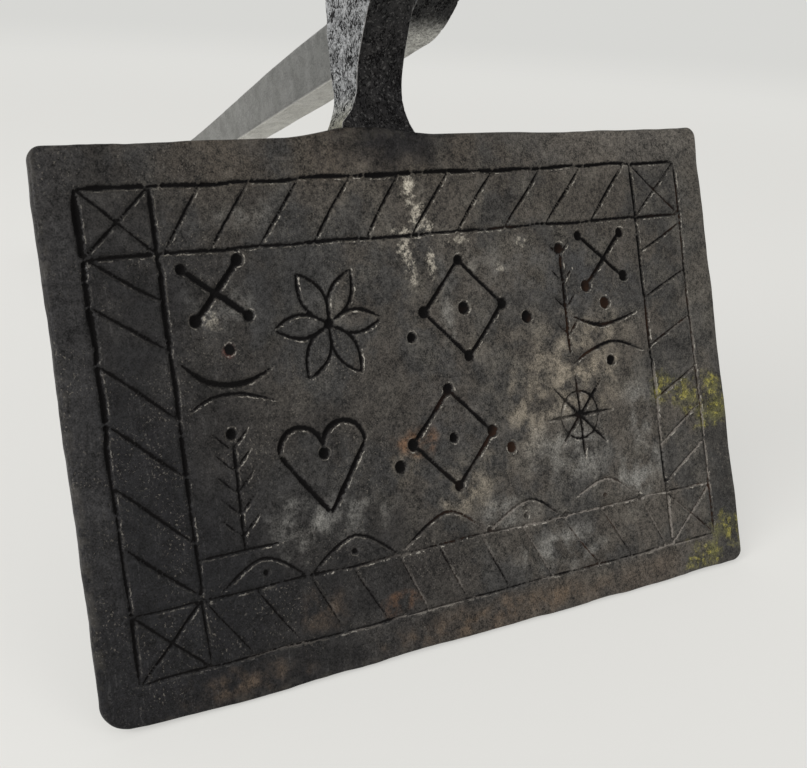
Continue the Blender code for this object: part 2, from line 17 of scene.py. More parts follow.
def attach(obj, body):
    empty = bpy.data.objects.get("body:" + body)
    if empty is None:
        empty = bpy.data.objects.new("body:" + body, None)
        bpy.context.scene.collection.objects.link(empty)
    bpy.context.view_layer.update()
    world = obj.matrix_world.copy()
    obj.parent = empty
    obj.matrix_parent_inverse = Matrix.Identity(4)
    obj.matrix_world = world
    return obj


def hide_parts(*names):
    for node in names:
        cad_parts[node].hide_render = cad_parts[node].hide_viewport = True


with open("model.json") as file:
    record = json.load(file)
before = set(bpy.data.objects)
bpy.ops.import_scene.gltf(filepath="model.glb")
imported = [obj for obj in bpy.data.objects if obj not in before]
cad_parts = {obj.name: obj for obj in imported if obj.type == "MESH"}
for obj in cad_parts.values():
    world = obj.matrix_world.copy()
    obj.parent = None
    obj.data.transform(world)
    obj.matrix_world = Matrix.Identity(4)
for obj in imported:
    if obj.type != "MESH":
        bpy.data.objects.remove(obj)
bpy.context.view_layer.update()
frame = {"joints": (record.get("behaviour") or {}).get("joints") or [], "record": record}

# %% [markdown]
# ## How the iron stands
# The two halves are the same shape. Each is drawn shut, with the rivet's axis along X, the reins up
# along Z and the seam between the carved faces in the plane Y = 0. One matrix then leans the lower
# half back, and another turns and opens the upper one. Both are read from the frame: the rivet's
# place from its joint, and the angles from the normals of the plates' backs.

# %% Find the two halves' places
joints = {joint["name"]: joint for joint in frame["joints"]}
backs = {mount["name"]: Vector(mount["axis"]) for mount in frame["record"]["mounts"]}
PIVOT = Vector(joints["plate_hinge"]["pos_m"])
LEAN = math.atan2(-backs["lower_plate_back"].z, backs["lower_plate_back"].y)
TURN = math.atan2(backs["upper_plate_back"].z, -backs["upper_plate_back"].y)
LOWER = Matrix.Translation(PIVOT) @ Matrix.Rotation(-LEAN, 4, "X")
UPPER = Matrix.Translation(PIVOT) @ Matrix.Rotation(-TURN, 4, "X") @ Matrix.Rotation(math.pi, 4, "Z")
print("lean", round(math.degrees(LEAN), 2), "open", round(math.degrees(TURN - LEAN), 2))

# %% [markdown]
# ## The camera
# The camera's place and focal length come from the plate itself. Its four edges are a rectangle of
# known shape, so their vanishing points give the lens, and the rectangle's size gives the distance.
# So the camera is placed from the shut lower half, and leans back with it.
# The lens axis passes a little left of the picture's middle, which is what the small shift is for.

# %% Set the camera
CAMERA_PLACE = (-0.14616, -0.22032, -0.08521)
CAMERA_TURN_DEG = (87.811, 7.169, -28.505)
FOCAL_PIXELS = 1117.0
PICTURE_WIDTH = 807
AXIS_PIXEL = 341.7

camera = bpy.data.objects.new("camera", bpy.data.cameras.new("camera"))
turn = Euler([math.radians(angle) for angle in CAMERA_TURN_DEG])
camera.matrix_world = LOWER @ Matrix.LocRotScale(Vector(CAMERA_PLACE), turn, None)
camera.data.sensor_width = 36
camera.data.lens = camera.data.sensor_width * FOCAL_PIXELS / PICTURE_WIDTH
camera.data.shift_x = (PICTURE_WIDTH / 2 - AXIS_PIXEL) / PICTURE_WIDTH
camera.data.clip_start = 0.01
bpy.context.scene.collection.objects.link(camera)
bpy.context.scene.camera = camera
bpy.context.scene.view_settings.view_transform = "Standard"
print("lens", round(camera.data.lens, 2), "mm")

# %% [markdown]
# ## Short helpers for node trees
# Shader trees and geometry trees are both rows of nodes with wires between them. Every helper works in
# the tree that lies open on the bench. What comes out of a node is a wire, and wires are added and
# multiplied like numbers: each sign puts one more node into the tree.

# %% Node helpers
FLOAT, VECTOR, GEOMETRY = "NodeSocketFloat", "NodeSocketVector", "NodeSocketGeometry"
OBJECT, MATERIAL = "NodeSocketObject", "NodeSocketMaterial"
bench = {}


class Wire:
    """What comes out of a node. It can be used in a sum like a number."""

    def __init__(self, socket):
        self.socket = socket

    def __add__(self, other):
        return calc("ADD", self, other)

    def __sub__(self, other):
        return calc("SUBTRACT", self, other)

    def __rsub__(self, other):
        return calc("SUBTRACT", other, self)

    def __mul__(self, other):
        return calc("MULTIPLY", self, other)

    def __truediv__(self, other):
        return calc("DIVIDE", self, other)

    __radd__, __rmul__ = __add__, __mul__


def feed(socket, value):
    """Wires a node's output into the socket, or sets the socket's own value."""
    if isinstance(value, Wire):
        bench["tree"].links.new(value.socket, socket)
    else:
        socket.default_value = (*value, 1.0) if socket.type == "RGBA" else value


def add_node(kind, inputs=None, **settings):
    node = bench["tree"].nodes.new(kind)
    for key, value in settings.items():
        setattr(node, key, value)
    for socket, value in (inputs or {}).items():
        feed(node.inputs[socket], value)
    return node


def made(kind, inputs=None, output=0, **settings):
    """Adds a node and gives back one of its outputs as a wire."""
    return Wire(add_node(kind, inputs, **settings).outputs[output])


def calc(operation, *values, clamp=False):
    return made("ShaderNodeMath", dict(enumerate(values)), operation=operation, use_clamp=clamp)


def vector_calc(operation, *values):
    """A sum on places or colours. SCALE takes one of them and a number."""
    sockets = (0, "Scale") if operation == "SCALE" else range(len(values))
    output = "Value" if operation in ("LENGTH", "DISTANCE", "DOT_PRODUCT") else "Vector"
    return made("ShaderNodeVectorMath", dict(zip(sockets, values)), output, operation=operation)


def parts(vector):
    """The vector's X, Y and Z."""
    return [Wire(socket) for socket in add_node("ShaderNodeSeparateXYZ", {"Vector": vector}).outputs]


def joined(x, y, z):
    return made("ShaderNodeCombineXYZ", {0: x, 1: y, 2: z})


def fade(value, low, high, start=0.0, end=1.0):
    """A smooth ramp from start, at low, to end, at high."""
    return made("ShaderNodeMapRange", {
        "Value": value, "From Min": low, "From Max": high, "To Min": start, "To Max": end,
    }, interpolation_type="SMOOTHSTEP")


def fade_out(value, low, high, end=0.0):
    """A smooth ramp from 1, at low, down to the end."""
    return fade(value, low, high, 1.0, end)


def noise(place, scale, detail=2.0, roughness=0.5, seed=None):
    """A cloudy pattern between 0 and 1. Most of it lies near a half."""
    inputs = {"Vector": place, "Scale": scale, "Detail": detail, "Roughness": roughness}
    if seed is None:
        return made("ShaderNodeTexNoise", inputs, "Fac")
    return made("ShaderNodeTexNoise", {**inputs, "W": seed}, "Fac", noise_dimensions="4D")


def open_group(name, kind, inputs):
    """Opens a new group on the bench. An input is a number, or a socket of the kind given instead."""
    tree = bench["tree"] = bpy.data.node_groups.new(name, kind)
    for label, value in inputs.items():
        number = isinstance(value, float)
        socket = tree.interface.new_socket(
            name=label, in_out="INPUT", socket_type=FLOAT if number else value)
        if number:
            socket.default_value = value
    return [Wire(socket) for socket in tree.nodes.new("NodeGroupInput").outputs[:len(inputs)]]


def close_group(label, socket, result):
    """Gives the open group its one output."""
    tree = bench["tree"]
    tree.interface.new_socket(name=label, in_out="OUTPUT", socket_type=socket)
    feed(tree.nodes.new("NodeGroupOutput").inputs[label], result)
    return tree


print("helpers ready")

# %% [markdown]
# ## Shared effects
# Old iron is never one colour. Five effects are used by more than one finish, so each is a group: soft
# blotches, ragged pits, fine scratches, a patch that stays at one place on the plate, and a fine grit of
# lighter and darker grains. A group puts out a mask or a number, and each material uses it its own way.

# %% Blotches, pits and grit
def blotches_group():
    place, scale, detail, low, high = open_group("Blotches", "ShaderNodeTree", {
        "Place": VECTOR, "Scale": 40.0, "Detail": 4.0, "Low": 0.45, "High": 0.6})
    return close_group("Mask", FLOAT, fade(noise(place, scale, detail, 0.6), low, high))


def pits_group():
    """Ragged pits where a noise runs low. They crowd together in some places and are rare in others.
    The place is squeezed by the length along Z, so that a pit is drawn out along the bar."""
    place, scale, length, cover = open_group("Pits", "ShaderNodeTree", {
        "Place": VECTOR, "Scale": 900.0, "Length": 1.0, "Cover": 0.4})
    fine = noise(vector_calc("MULTIPLY", place, joined(1.0, 1.0, length)), scale, 3.0, 0.55)
    crowd = noise(place, scale * 0.14, 1.0)
    level = fine + (crowd - 0.5) * 0.5
    limit = cover * 0.2 + 0.32
    return close_group("Mask", FLOAT, calc("MULTIPLY", limit - level, 30.0, clamp=True))


def grit_group():
    """A number near 1 for the colour to be multiplied by, from fine grains and broader ones."""
    place, scale, depth = open_group("Grit", "ShaderNodeTree", {
        "Place": VECTOR, "Scale": 1800.0, "Depth": 1.0})
    swings = [
        (noise(place, scale * share) - 0.5) * weight
        for share, weight in ((1.0, 2.6), (0.38, 1.9), (0.07, 1.3))
    ]
    return close_group("Value", FLOAT, calc("MAXIMUM", sum(swings) * depth + 1.0, 0.12))


# %% Scratches and patches
def scratches_group():
    """Fine lines along one direction: noise that is squeezed across it, where it peaks."""
    place, scale, amount = open_group("Scratches", "ShaderNodeTree", {
        "Place": VECTOR, "Scale": 60.0, "Amount": 0.3})
    squeezed = made("ShaderNodeMapping", {
        "Vector": place, "Rotation": (0.0, 0.5, 0.0), "Scale": (14.0, 14.0, 1.0)})
    return close_group("Mask", FLOAT, fade(noise(squeezed, scale, 3.0), 0.58, 0.68) * amount)


def patch_group():
    """A ragged oval at one place on a plate, for a scuff or a stain."""
    place, x, z, half_width, half_height, ragged, grain, core = open_group("Patch", "ShaderNodeTree", {
        "Place": VECTOR, "X": 0.0, "Z": 0.0, "Half Width": 0.01, "Half Height": 0.01,
        "Ragged": 0.8, "Grain": 300.0, "Core": 0.5})
    here_x, _, here_z = parts(place)
    across, up = (here_x - x) / half_width, (here_z - z) / half_height
    out_far = calc("SQRT", across * across + up * up)
    rough = (noise(place, grain, 5.0, 0.65) - 0.5) * ragged
    return close_group("Mask", FLOAT, fade_out(out_far + rough * 4.0, core, 1.15))


def effect(group):
    """A function that adds this group to the open tree, with values for its inputs in order."""
    def use(*values):
        return made("ShaderNodeGroup", dict(enumerate(values)), node_tree=group)
    return use


GROUPS = [blotches_group(), pits_group(), grit_group(), scratches_group(), patch_group()]
blotches, pits, grit, scratches, patch = (effect(group) for group in GROUPS)
print("effects", [group.name for group in GROUPS])


# %% [markdown]
# ## Floor, backdrop and light
# The iron stands on a plain pale floor that runs off to a backdrop of the same grey. A page like this
# shows only a faint shadow, so straight, mirrored and refracted rays see the floor partly glowing by
# itself, wholly so further off, while light that bounces on to the iron comes from its plain colour.
# One broad lamp on the left and the sky from all round give soft light at which a colour looks as it
# is written.

# %% Floor and backdrop
NEAR_GREY, BACKDROP_GREY, WHITE = (0.798, 0.791, 0.760), (0.68, 0.68, 0.658), (1.0, 1.0, 1.0)
FLOOR_GLOW = 0.58
FLOOR_SIZE = 80.0
SKY_LIGHT = 0.55


def open_material(name):
    """Opens a new material on the bench. Gives back the material and its shader."""
    material = bpy.data.materials.new(name)
    material.use_nodes = True
    bench["tree"] = material.node_tree
    return material, material.node_tree.nodes["Principled BSDF"]


def lay(below, colour, mask, strength=1.0):
    """Lays the colour over what is below, where the mask is."""
    if strength != 1.0:
        mask = mask * strength
    return made("ShaderNodeMix", {0: mask, 6: below, 7: colour}, 2, data_type="RGBA")


def shown_ray():
    """1 for the rays that show the backdrop: straight ones, mirrored ones and refracted ones."""
    path = add_node("ShaderNodeLightPath").outputs
    camera_ray, mirrored, refracted = (
        Wire(path[name]) for name in ("Is Camera Ray", "Is Glossy Ray", "Is Transmission Ray"))
    return calc("MAXIMUM", calc("MAXIMUM", camera_ray, mirrored), refracted)


def mixed_shader(share, first, second):
    return made("ShaderNodeMixShader", {0: share, 1: Wire(first.outputs[0]), 2: Wire(second.outputs[0])})


def floor_material():
    material, shader = open_material("pale_floor")
    shader.inputs["Base Color"].default_value = (*NEAR_GREY, 1.0)
    shader.inputs["Roughness"].default_value = 0.9
    shader.inputs["Specular IOR Level"].default_value = 0.0
    distance = vector_calc("LENGTH", made("ShaderNodeTexCoord", output="Object"))
    glow = add_node("ShaderNodeEmission", {"Color": lay(NEAR_GREY, BACKDROP_GREY, fade(distance, 0.25, 2.4))})
    share = shown_ray() * fade(distance, 0.45, 1.5, FLOOR_GLOW, 1.0)
    feed(material.node_tree.nodes["Material Output"].inputs["Surface"], mixed_shader(share, shader, glow))
    return material


def pale_world():
    world = bpy.data.worlds.new("pale_world")
    world.use_nodes = True
    bench["tree"] = world.node_tree
    sky = world.node_tree.nodes["Background"]
    feed(sky.inputs["Color"], WHITE)
    feed(sky.inputs["Strength"], SKY_LIGHT)
    page = add_node("ShaderNodeBackground", {"Color": BACKDROP_GREY, "Strength": 1.0})
    feed(world.node_tree.nodes["World Output"].inputs["Surface"], mixed_shader(shown_ray(), sky, page))
    return world


def add_thing(name, data):
    thing = bpy.data.objects.new(name, data)
    bpy.context.scene.collection.objects.link(thing)
    return thing


floor = add_thing("floor", bpy.data.meshes.new("floor"))
half = FLOOR_SIZE / 2
corners = [(-half, -half, 0), (half, -half, 0), (half, half, 0), (-half, half, 0)]
floor.data.from_pydata(corners, [], [(0, 1, 2, 3)])
floor.data.materials.append(floor_material())
bpy.context.scene.world = pale_world()
print("floor and backdrop ready")

# %% Lamps
LAMPS = {
    "key": {"place": (-1.7, -0.75, 1.15), "size": 1.3, "watts": 34},
    "front_fill": {"place": (0.6, -2.2, 1.3), "size": 1.6, "watts": 12},
}
AIM = Vector((0.0, -0.05, 0.2))

for name, lamp in LAMPS.items():
    light = add_thing(name, bpy.data.lights.new(name, "AREA"))
    light.data.shape = "DISK"
    light.data.size = lamp["size"]
    light.data.energy = lamp["watts"]
    light.location = lamp["place"]
    light.rotation_euler = (AIM - light.location).to_track_quat("-Z", "Y").to_euler()
print("lamps", sorted(LAMPS))

# %% [markdown]
# ## What the chisel cut
# The cook who pressed a wafer saw this drawing in the dough. The smith cut it freehand: a border of
# two lines, slanting strokes between them, crosses and bows with punched dots, and a row of arches.
# The strokes are written as points on the plate in millimetres, right and up from its middle. Each has
# a width and a depth, because the left strokes were driven deep and the right ones barely bite.

# %% Border and hatching
BORDER_X, BORDER_Z = 81.9, 50.7
FIELD_X, FIELD_Z = 66.2, 36.5
DRAWING_MIDDLE = (-0.5, 0.0)
DEPTH_SHARE = 0.55
TOP_HATCHES = [
    (-64.9, -55.0), (-54.3, -43.7), (-42.7, -31.7), (-29.7, -18.4), (-15.9, -5.5),
    (-3.5, 8.5), (9.0, 22.0), (23.3, 36.6), (36.1, 49.5), (50.7, 64.1),
]
BOTTOM_HATCHES = [
    (-65.7, -55.9), (-54.0, -44.4), (-40.8, -33.5), (-30.0, -22.5), (-17.9, -11.5), (-6.8, -0.3),
    (5.4, 12.1), (17.8, 25.5), (30.3, 40.7), (43.0, 52.0), (56.7, 63.9),
]
LEFT_HATCHES = [(36.5, 26.7), (27.1, 16.1), (15.0, 1.8), (2.9, -10.3), (-9.9, -24.3), (-22.1, -35.8)]
RIGHT_HATCHES = [(27.2, 34.3), (15.3, 21.8), (2.6, 9.3), (-11.8, -4.3), (-23.6, -14.7), (-34.0, -24.5)]


def cut(points, width, depth=None, taper=2.0):
    """One stroke: its points, its width and depth, and over what length its ends thin out."""
    if depth is None:
        depth = DEPTH_SHARE * width
    return {"points": points, "width": width, "depth": depth, "taper": taper}


BITE, OVERLAP, STRAY = 17.0, 0.09, 0.22


def long_line(start, end, widths, rng):
    """A long line is struck as a row of overlapping cuts, each a little off the one before. The widths
    are those at its start and its end."""
    start, end = np.array(start), np.array(end)
    length = float(np.hypot(*(end - start)))
    across = np.array((-(end - start)[1], (end - start)[0])) / length
    count = round(length / BITE)
    cuts = []
    for i in range(count):
        shares = (i - OVERLAP) / count, (i + 1 + OVERLAP) / count
        low, high = (
            start + (end - start) * share + across * rng.uniform(-STRAY, STRAY) for share in shares)
        if i == 0:
            low = start
        if i == count - 1:
            high = end
        width = widths[0] + (widths[1] - widths[0]) * (i + 0.5) / count
        cuts.append(cut([tuple(low), tuple(high)], width * rng.uniform(0.85, 1.1), taper=3.5))
    return cuts


def border_cuts():
    rng = np.random.default_rng(5)
    cuts = []
    across = ((BORDER_Z, 1.45, 1.4), (FIELD_Z, 1.25, 1.05), (-FIELD_Z, 0.85, 0.75), (-BORDER_Z, 0.9, 0.85))
    for z, *widths in across:
        cuts += long_line((-BORDER_X, z), (BORDER_X, z), widths, rng)
    upright = ((-BORDER_X, 2.0, 1.1), (-FIELD_X, 1.65, 1.05), (FIELD_X, 1.15, 1.1), (BORDER_X, 1.1, 0.95))
    for x, *widths in upright:
        cuts += long_line((x, BORDER_Z), (x, -BORDER_Z), widths, rng)
    for side_x, width_x in ((-1, 1.0), (1, 0.8)):
        for side_z in (-1, 1):
            inner, outer = (side_x * FIELD_X, side_z * FIELD_Z), (side_x * BORDER_X, side_z * BORDER_Z)
            cuts.append(cut([inner, outer], width_x))
            cuts.append(cut([(inner[0], outer[1]), (outer[0], inner[1])], width_x))
    return cuts


def hatch_cuts():
    cuts = [cut([(low, FIELD_Z), (high, BORDER_Z)], 1.0, taper=4.0) for low, high in TOP_HATCHES]
    cuts += [cut([(high, -FIELD_Z), (low, -BORDER_Z)], 0.8, taper=4.0) for high, low in BOTTOM_HATCHES]
    cuts += [cut([(-BORDER_X, high), (-FIELD_X, low)], 1.15, taper=5.0) for high, low in LEFT_HATCHES]
    cuts += [cut([(FIELD_X, low), (BORDER_X, high)], 0.9, taper=4.0) for low, high in RIGHT_HATCHES]
    return cuts


print(len(border_cuts()), "border cuts,", len(hatch_cuts()), "hatches")


# %% Curves through points
def through(points, steps=8):
    """A smooth curve through the points."""
    knots = [Vector(point) for point in [points[0], *points, points[-1]]]
    curve = []
    for a, b, c, d in zip(knots, knots[1:], knots[2:], knots[3:]):
        for i in range(steps):
            t = i / steps
            curve.append(tuple(0.5 * (
                2 * b + (c - a) * t + (2 * a - 5 * b + 4 * c - d) * t**2 + (3 * b - a - 3 * c + d) * t**3)))
    return curve + [tuple(points[-1])]


def ring_points(centre, radius_x, radius_z, start=0, end=360, steps=36):
    angles = [math.radians(start + (end - start) * i / steps) for i in range(steps + 1)]
    return [(centre[0] + radius_x * math.cos(a), centre[1] + radius_z * math.sin(a)) for a in angles]


# %% [markdown]
# The field holds the crosses, bows, twig and arches that such plates carry, and six plain figures in
# two rows: a rosette, a lozenge and an ear of grain over a heart, a lozenge and a star. All are common
# on wafer irons, and each is a few strokes that a chisel can follow.

# %% Figures in the field
def cross_cuts(corners, width=1.7):
    """Two strokes between four punched dots, given as upper left, lower right, upper right, lower left."""
    return [cut(corners[:2], width), cut(corners[2:], width)]


def petal_cuts(centre, radius, petals=6, bulge=0.2, width=1.15):
    """Petals struck with a compass: each is two shallow arcs from the middle to the rim."""
    cuts = []
    for i in range(petals):
        turn = Matrix.Rotation(math.tau * i / petals, 2)
        for side in (-1, 1):
            steps = [(t / 10, side * bulge * math.sin(math.pi * t / 10)) for t in range(11)]
            points = [tuple(Vector(centre) + radius * (turn @ Vector(step))) for step in steps]
            cuts.append(cut(points, width, taper=3.0))
    return cuts


def lozenge_cuts(centre, half_x, half_z, width=1.35):
    x, z = centre
    corners = [(x + half_x, z), (x, z + half_z), (x - half_x, z), (x, z - half_z)]
    return [cut([corners[i], corners[(i + 1) % 4]], width) for i in range(4)], corners


def heart_cuts(centre, half, width=1.5):
    x, z = centre
    spring = z + 0.35 * half
    cuts = []
    for side in (-1, 1):
        start = 90 - side * 90
        lobe = ring_points((x + side * half / 2, spring), half / 2, half / 2, start, 180 - start, 14)
        cuts.append(cut(lobe, width, taper=1.0))
        cuts.append(cut([(x + side * half, spring), (x, z - half)], width, taper=1.0))
    return cuts


def star_cuts(centre, radius, width=1.15):
    cuts = []
    for i in range(4):
        x, z = radius * math.cos(math.pi * i / 4), radius * math.sin(math.pi * i / 4)
        cuts.append(cut([(centre[0] - x, centre[1] - z), (centre[0] + x, centre[1] + z)], width, taper=4.0))
    return cuts + [cut(ring_points(centre, 0.55 * radius, 0.55 * radius), 0.9, taper=0.5)]


def ear_cuts(stem, pairs, reach, width):
    """A stem with paired barbs, as an ear of grain is drawn."""
    (x, low), (_, high) = stem
    cuts = [cut(stem, width)]
    for i in range(pairs):
        z = low + (high - low) * (i + 0.7) / pairs
        for side in (-1, 1):
            cuts.append(cut([(x, z), (x + side * reach, z + reach)], 0.8 * width, taper=3.0))
    return cuts


def arch_cuts():
    arches = [
        [(-61.7, -35.6), (-51.0, -30.5), (-40.7, -36.6)], [(-40.4, -36.5), (-28.4, -29.8), (-17.4, -36.7)],
        [(-16.4, -35.5), (-3.3, -29.2), (6.4, -34.9)], [(8.7, -35.4), (21.4, -30.5), (30.3, -36.2)],
        [(35.7, -32.6), (46.9, -29.4), (55.7, -35.4)],
    ]
    return [cut(through(arch), 1.0, 0.45, taper=4.0) for arch in arches]


print(len(arch_cuts()), "arches")


# %% The lower plate's cuts and dots
DOT, SMALL_DOT, RED_DOT = (1.55, 1.2), (0.95, 0.6), (1.3, 0.3)


def lower_cuts():
    left_cross = [(-61.5, 32.9), (-47.4, 21.8), (-48.5, 34.0), (-59.6, 21.8)]
    right_cross = [(46.2, 33.0), (59.8, 21.7), (60.1, 32.9), (46.9, 20.1)]
    high_lozenge, high_corners = lozenge_cuts((8.6, 18.1), 11.4, 11.6)
    low_lozenge, low_corners = lozenge_cuts((1.3, -12.2), 11.4, 11.6)
    cuts = border_cuts() + hatch_cuts() + cross_cuts(left_cross) + cross_cuts(right_cross, 1.35)
    cuts += petal_cuts((-28.1, 18.1), 13.7) + high_lozenge
    cuts += ear_cuts([(39.5, 3.6), (39.5, 30.3)], 4, 3.4, 1.2)
    cuts += heart_cuts((-33.5, -13.0), 10.9) + low_lozenge + star_cuts((40.2, -12.2), 10.9)
    cuts += ear_cuts([(-55.2, -28.3), (-54.9, -4.9)], 5, 4.2, 1.1) + arch_cuts()
    cuts.append(cut([(-65.4, -27.9), (-46.3, -27.9)], 0.9, 0.35))
    bows = [
        ([(-64.4, 13.0), (-59.3, 9.2), (-53.9, 7.7), (-48.7, 7.9), (-43.3, 10.2)], 1.7),
        ([(41.0, 13.0), (51.0, 9.7), (62.5, 12.0)], 1.35),
        ([(-63.4, 3.0), (-58.3, 5.3), (-52.5, 5.6), (-47.7, 4.5), (-43.1, 2.8)], 1.2),
        ([(39.8, 0.7), (45.8, 3.6), (54.5, 5.0), (63.8, 1.8)], 1.2),
    ]
    cuts += [cut(through(points), width, taper=9.0) for points, width in bows]
    dots = left_cross + right_cross + high_corners + low_corners + [
        (52.5, 15.3), (-54.9, -2.9), (52.4, 0.3), (-28.1, 18.1), (8.6, 18.1), (1.3, -12.2),
        (-33.5, -10.4), (39.5, 30.3), (-7.0, 12.6), (27.0, 14.2), (-14.3, -16.7), (17.8, -17.0),
    ]
    small_dots = [
        (-28.9, -33.4), (19.6, -34.2), (45.2, -33.8), (8.3, -35.8), (31.9, -36.3), (56.6, -36.3),
        (-51.0, -33.7),
    ]
    marks = [(spot, *DOT) for spot in dots] + [(spot, *SMALL_DOT) for spot in small_dots]
    return cuts, marks + [((-52.9, 15.0), *RED_DOT)]


# %% The upper plate's cuts and dots
LATTICE_SHARE, LATTICE_DOT = 0.78, (1.5, 1.1)


def upper_cuts():
    """The same border round a lattice of lozenges, with a dot in each and a rosette in the middle."""
    cuts, dots = border_cuts() + hatch_cuts() + petal_cuts((0.0, 0.0), 13.8), [((0.0, 0.0), *DOT)]
    step_x, step_z = FIELD_X / 4, FIELD_Z / 2
    for i in range(4):
        for j in range(2):
            centre = (step_x * (2 * i + 1) - FIELD_X, step_z * (2 * j + 1) - FIELD_Z)
            lozenge, corners = lozenge_cuts(centre, LATTICE_SHARE * step_x, LATTICE_SHARE * step_z)
            cuts += lozenge
            dots += [(spot, *LATTICE_DOT) for spot in corners + [centre]]
    return cuts, dots


print(len(lower_cuts()[0]), "cuts on the lower plate,", len(upper_cuts()[0]), "on the upper one")

# %% [markdown]
# A hand leaves traces: no line is quite straight, no cut is as wide at its end as in its middle. So
# each stroke is laid out again in short steps that drift a tenth of a millimetre, swell and thin a
# little, and taper at both ends. The result is a wire of edges whose points carry the half width and
# the depth, ready for the geometry nodes to read.

# %% Lay the strokes out
PLATE_LOW, PLATE_HIGH = -0.159, -0.039
PLATE_MIDDLE = (PLATE_LOW + PLATE_HIGH) / 2
MM = 0.001
STEP_MM = 0.7
END_SHARE = 0.25
SWELL, SWELL_WAVE, DRIFT_MM, DRIFT_WAVE = 0.09, 11.0, 0.11, 26.0


def walk(points):
    """Evenly spaced points along a stroke, with the distance of each from its start."""
    points = np.array(points, float)
    lengths = np.r_[0, np.cumsum(np.hypot(*np.diff(points, axis=0).T))]
    along = np.linspace(0, lengths[-1], max(3, round(lengths[-1] / STEP_MM) + 1))
    return along, np.stack([np.interp(along, lengths, points[:, k]) for k in (0, 1)], axis=1)


def drift(rng, along, amount, wave):
    """A slow wander: three sine waves of seeded length and phase."""
    total = np.zeros_like(along)
    for i in range(3):
        length = wave * rng.uniform(0.5, 1.6) * (i + 1) ** 0.3
        total += np.sin(along / length * math.tau + rng.uniform(0, 6.3))
    return amount * total / 1.8


def set_layer(mesh, name, values):
    """A number for each point of the mesh, which nodes can read by its name."""
    mesh.attributes.new(name, "FLOAT", "POINT").data.foreach_set("value", np.asarray(values, np.float32))


def wire_object(name, spots, edges, half_widths, depths):
    mesh = bpy.data.meshes.new(name)
    mesh.from_pydata([(x * MM, 0.0, PLATE_MIDDLE + z * MM) for x, z in spots], edges, [])
    set_layer(mesh, "half_width", np.array(half_widths) * MM)
    set_layer(mesh, "depth", np.array(depths) * MM)
    return add_thing(name, mesh)


def lay_out(name, cuts, dots, seed):
    rng = np.random.default_rng(seed)
    spots, edges, half_widths, depths = [], [], [], []
    for stroke in cuts:
        along, line = walk(stroke["points"])
        ends = np.minimum(along, along[-1] - along) / stroke["taper"]
        thin = END_SHARE + (1 - END_SHARE) * np.sqrt(np.clip(ends, 0, 1))
        swell = 1 + drift(rng, along, SWELL, SWELL_WAVE)
        line += np.array(DRAWING_MIDDLE)
        for k in (0, 1):
            line[:, k] += drift(rng, along, DRIFT_MM, DRIFT_WAVE)
        first = len(spots)
        spots += [tuple(spot) for spot in line]
        edges += [(first + i, first + i + 1) for i in range(len(line) - 1)]
        half_widths += list(stroke["width"] / 2 * thin * swell)
        depths += list(stroke["depth"] * thin * np.clip(swell, 0.7, 1.3))
    wire = wire_object(name + "_strokes", spots, edges, half_widths, depths)
    radii = [radius * rng.uniform(0.9, 1.12) for _, radius, _ in dots]
    middles = [(x + DRAWING_MIDDLE[0], z + DRAWING_MIDDLE[1]) for (x, z), _, _ in dots]
    punched = wire_object(name + "_dots", middles, [], radii, [deep for _, _, deep in dots])
    print(name, len(spots), "stroke points,", len(dots), "dots")
    return wire, punched


LOWER_WIRES = lay_out("lower", *lower_cuts(), seed=11)
UPPER_WIRES = lay_out("upper", *upper_cuts(), seed=23)

# %% [markdown]
# ## The plates
# A plate is a forged slab with a rounded outline, slightly chamfered in front and well bevelled behind.
# Its front has to carry cuts half a millimetre across, so it is a fine even grid, while the back gets
# by with cells four times as large. Near each corner the grid's straight lines are bent round, level by
# level, so the cells stay four-sided and no cut ever meets a bad triangle. The lower left corner was
# worn, and stands up a millimetre.

# %% A grid with rounded corners
PLATE_HALF = (0.091, 0.060)
CORNER_RADII = {(-1, 1): 0.003, (1, 1): 0.003, (1, -1): 0.0032, (-1, -1): 0.0058}
CORNER_LIFT, LIFT_LENGTH = 0.0011, 0.034
FOOT_RISE, RISE_AT, RISE_BY = 0.0019, (-0.034, -0.020, -0.010, 0.002, 0.006), (0.0, 1.0, 1.0, 0.3, 0.0)
LEAST_RADIUS = 0.0006
FRONT_CELLS = (344, 228)
BACK_CELLS = (86, 57)


def rounded_grid(cells, inset):
    """Points (x, z) of a grid over the plate, drawn in by the inset, with its corners bent round.

    The lower left corner stands up a little, and the top edge rises to the neck's foot.
    """
    half_x, half_z = PLATE_HALF[0] - inset, PLATE_HALF[1] - inset
    x, z = np.meshgrid(
        np.linspace(-half_x, half_x, cells[0] + 1), np.linspace(-half_z, half_z, cells[1] + 1), indexing="ij")
    for (side_x, side_z), radius in CORNER_RADII.items():
        a, b = half_x - side_x * x, half_z - side_z * z
        level, along = np.minimum(a, b), np.abs(a - b)
        bend = np.maximum(max(radius - inset, LEAST_RADIUS) - level, 1e-9)
        angle = math.pi / 4 * (1 - along / bend)
        inside, on_side = along < bend, a <= b
        short, long = level + bend * (1 - np.cos(angle)), level + bend * (1 - np.sin(angle))
        a, b = (
            np.where(inside, np.where(on_side, short, long), a),
            np.where(inside, np.where(on_side, long, short), b),
        )
        x, z = side_x * (half_x - a), side_z * (half_z - b)
    near_left = np.clip((LIFT_LENGTH - half_x - x) / LIFT_LENGTH, 0, 1) ** 2
    lift = CORNER_LIFT * near_left * np.clip(-z / half_z, 0, 1) ** 2
    rise = FOOT_RISE * np.interp(x, RISE_AT, RISE_BY) ** 1.5 * np.clip(z / half_z, 0, 1) ** 12
    return x, z + lift + rise


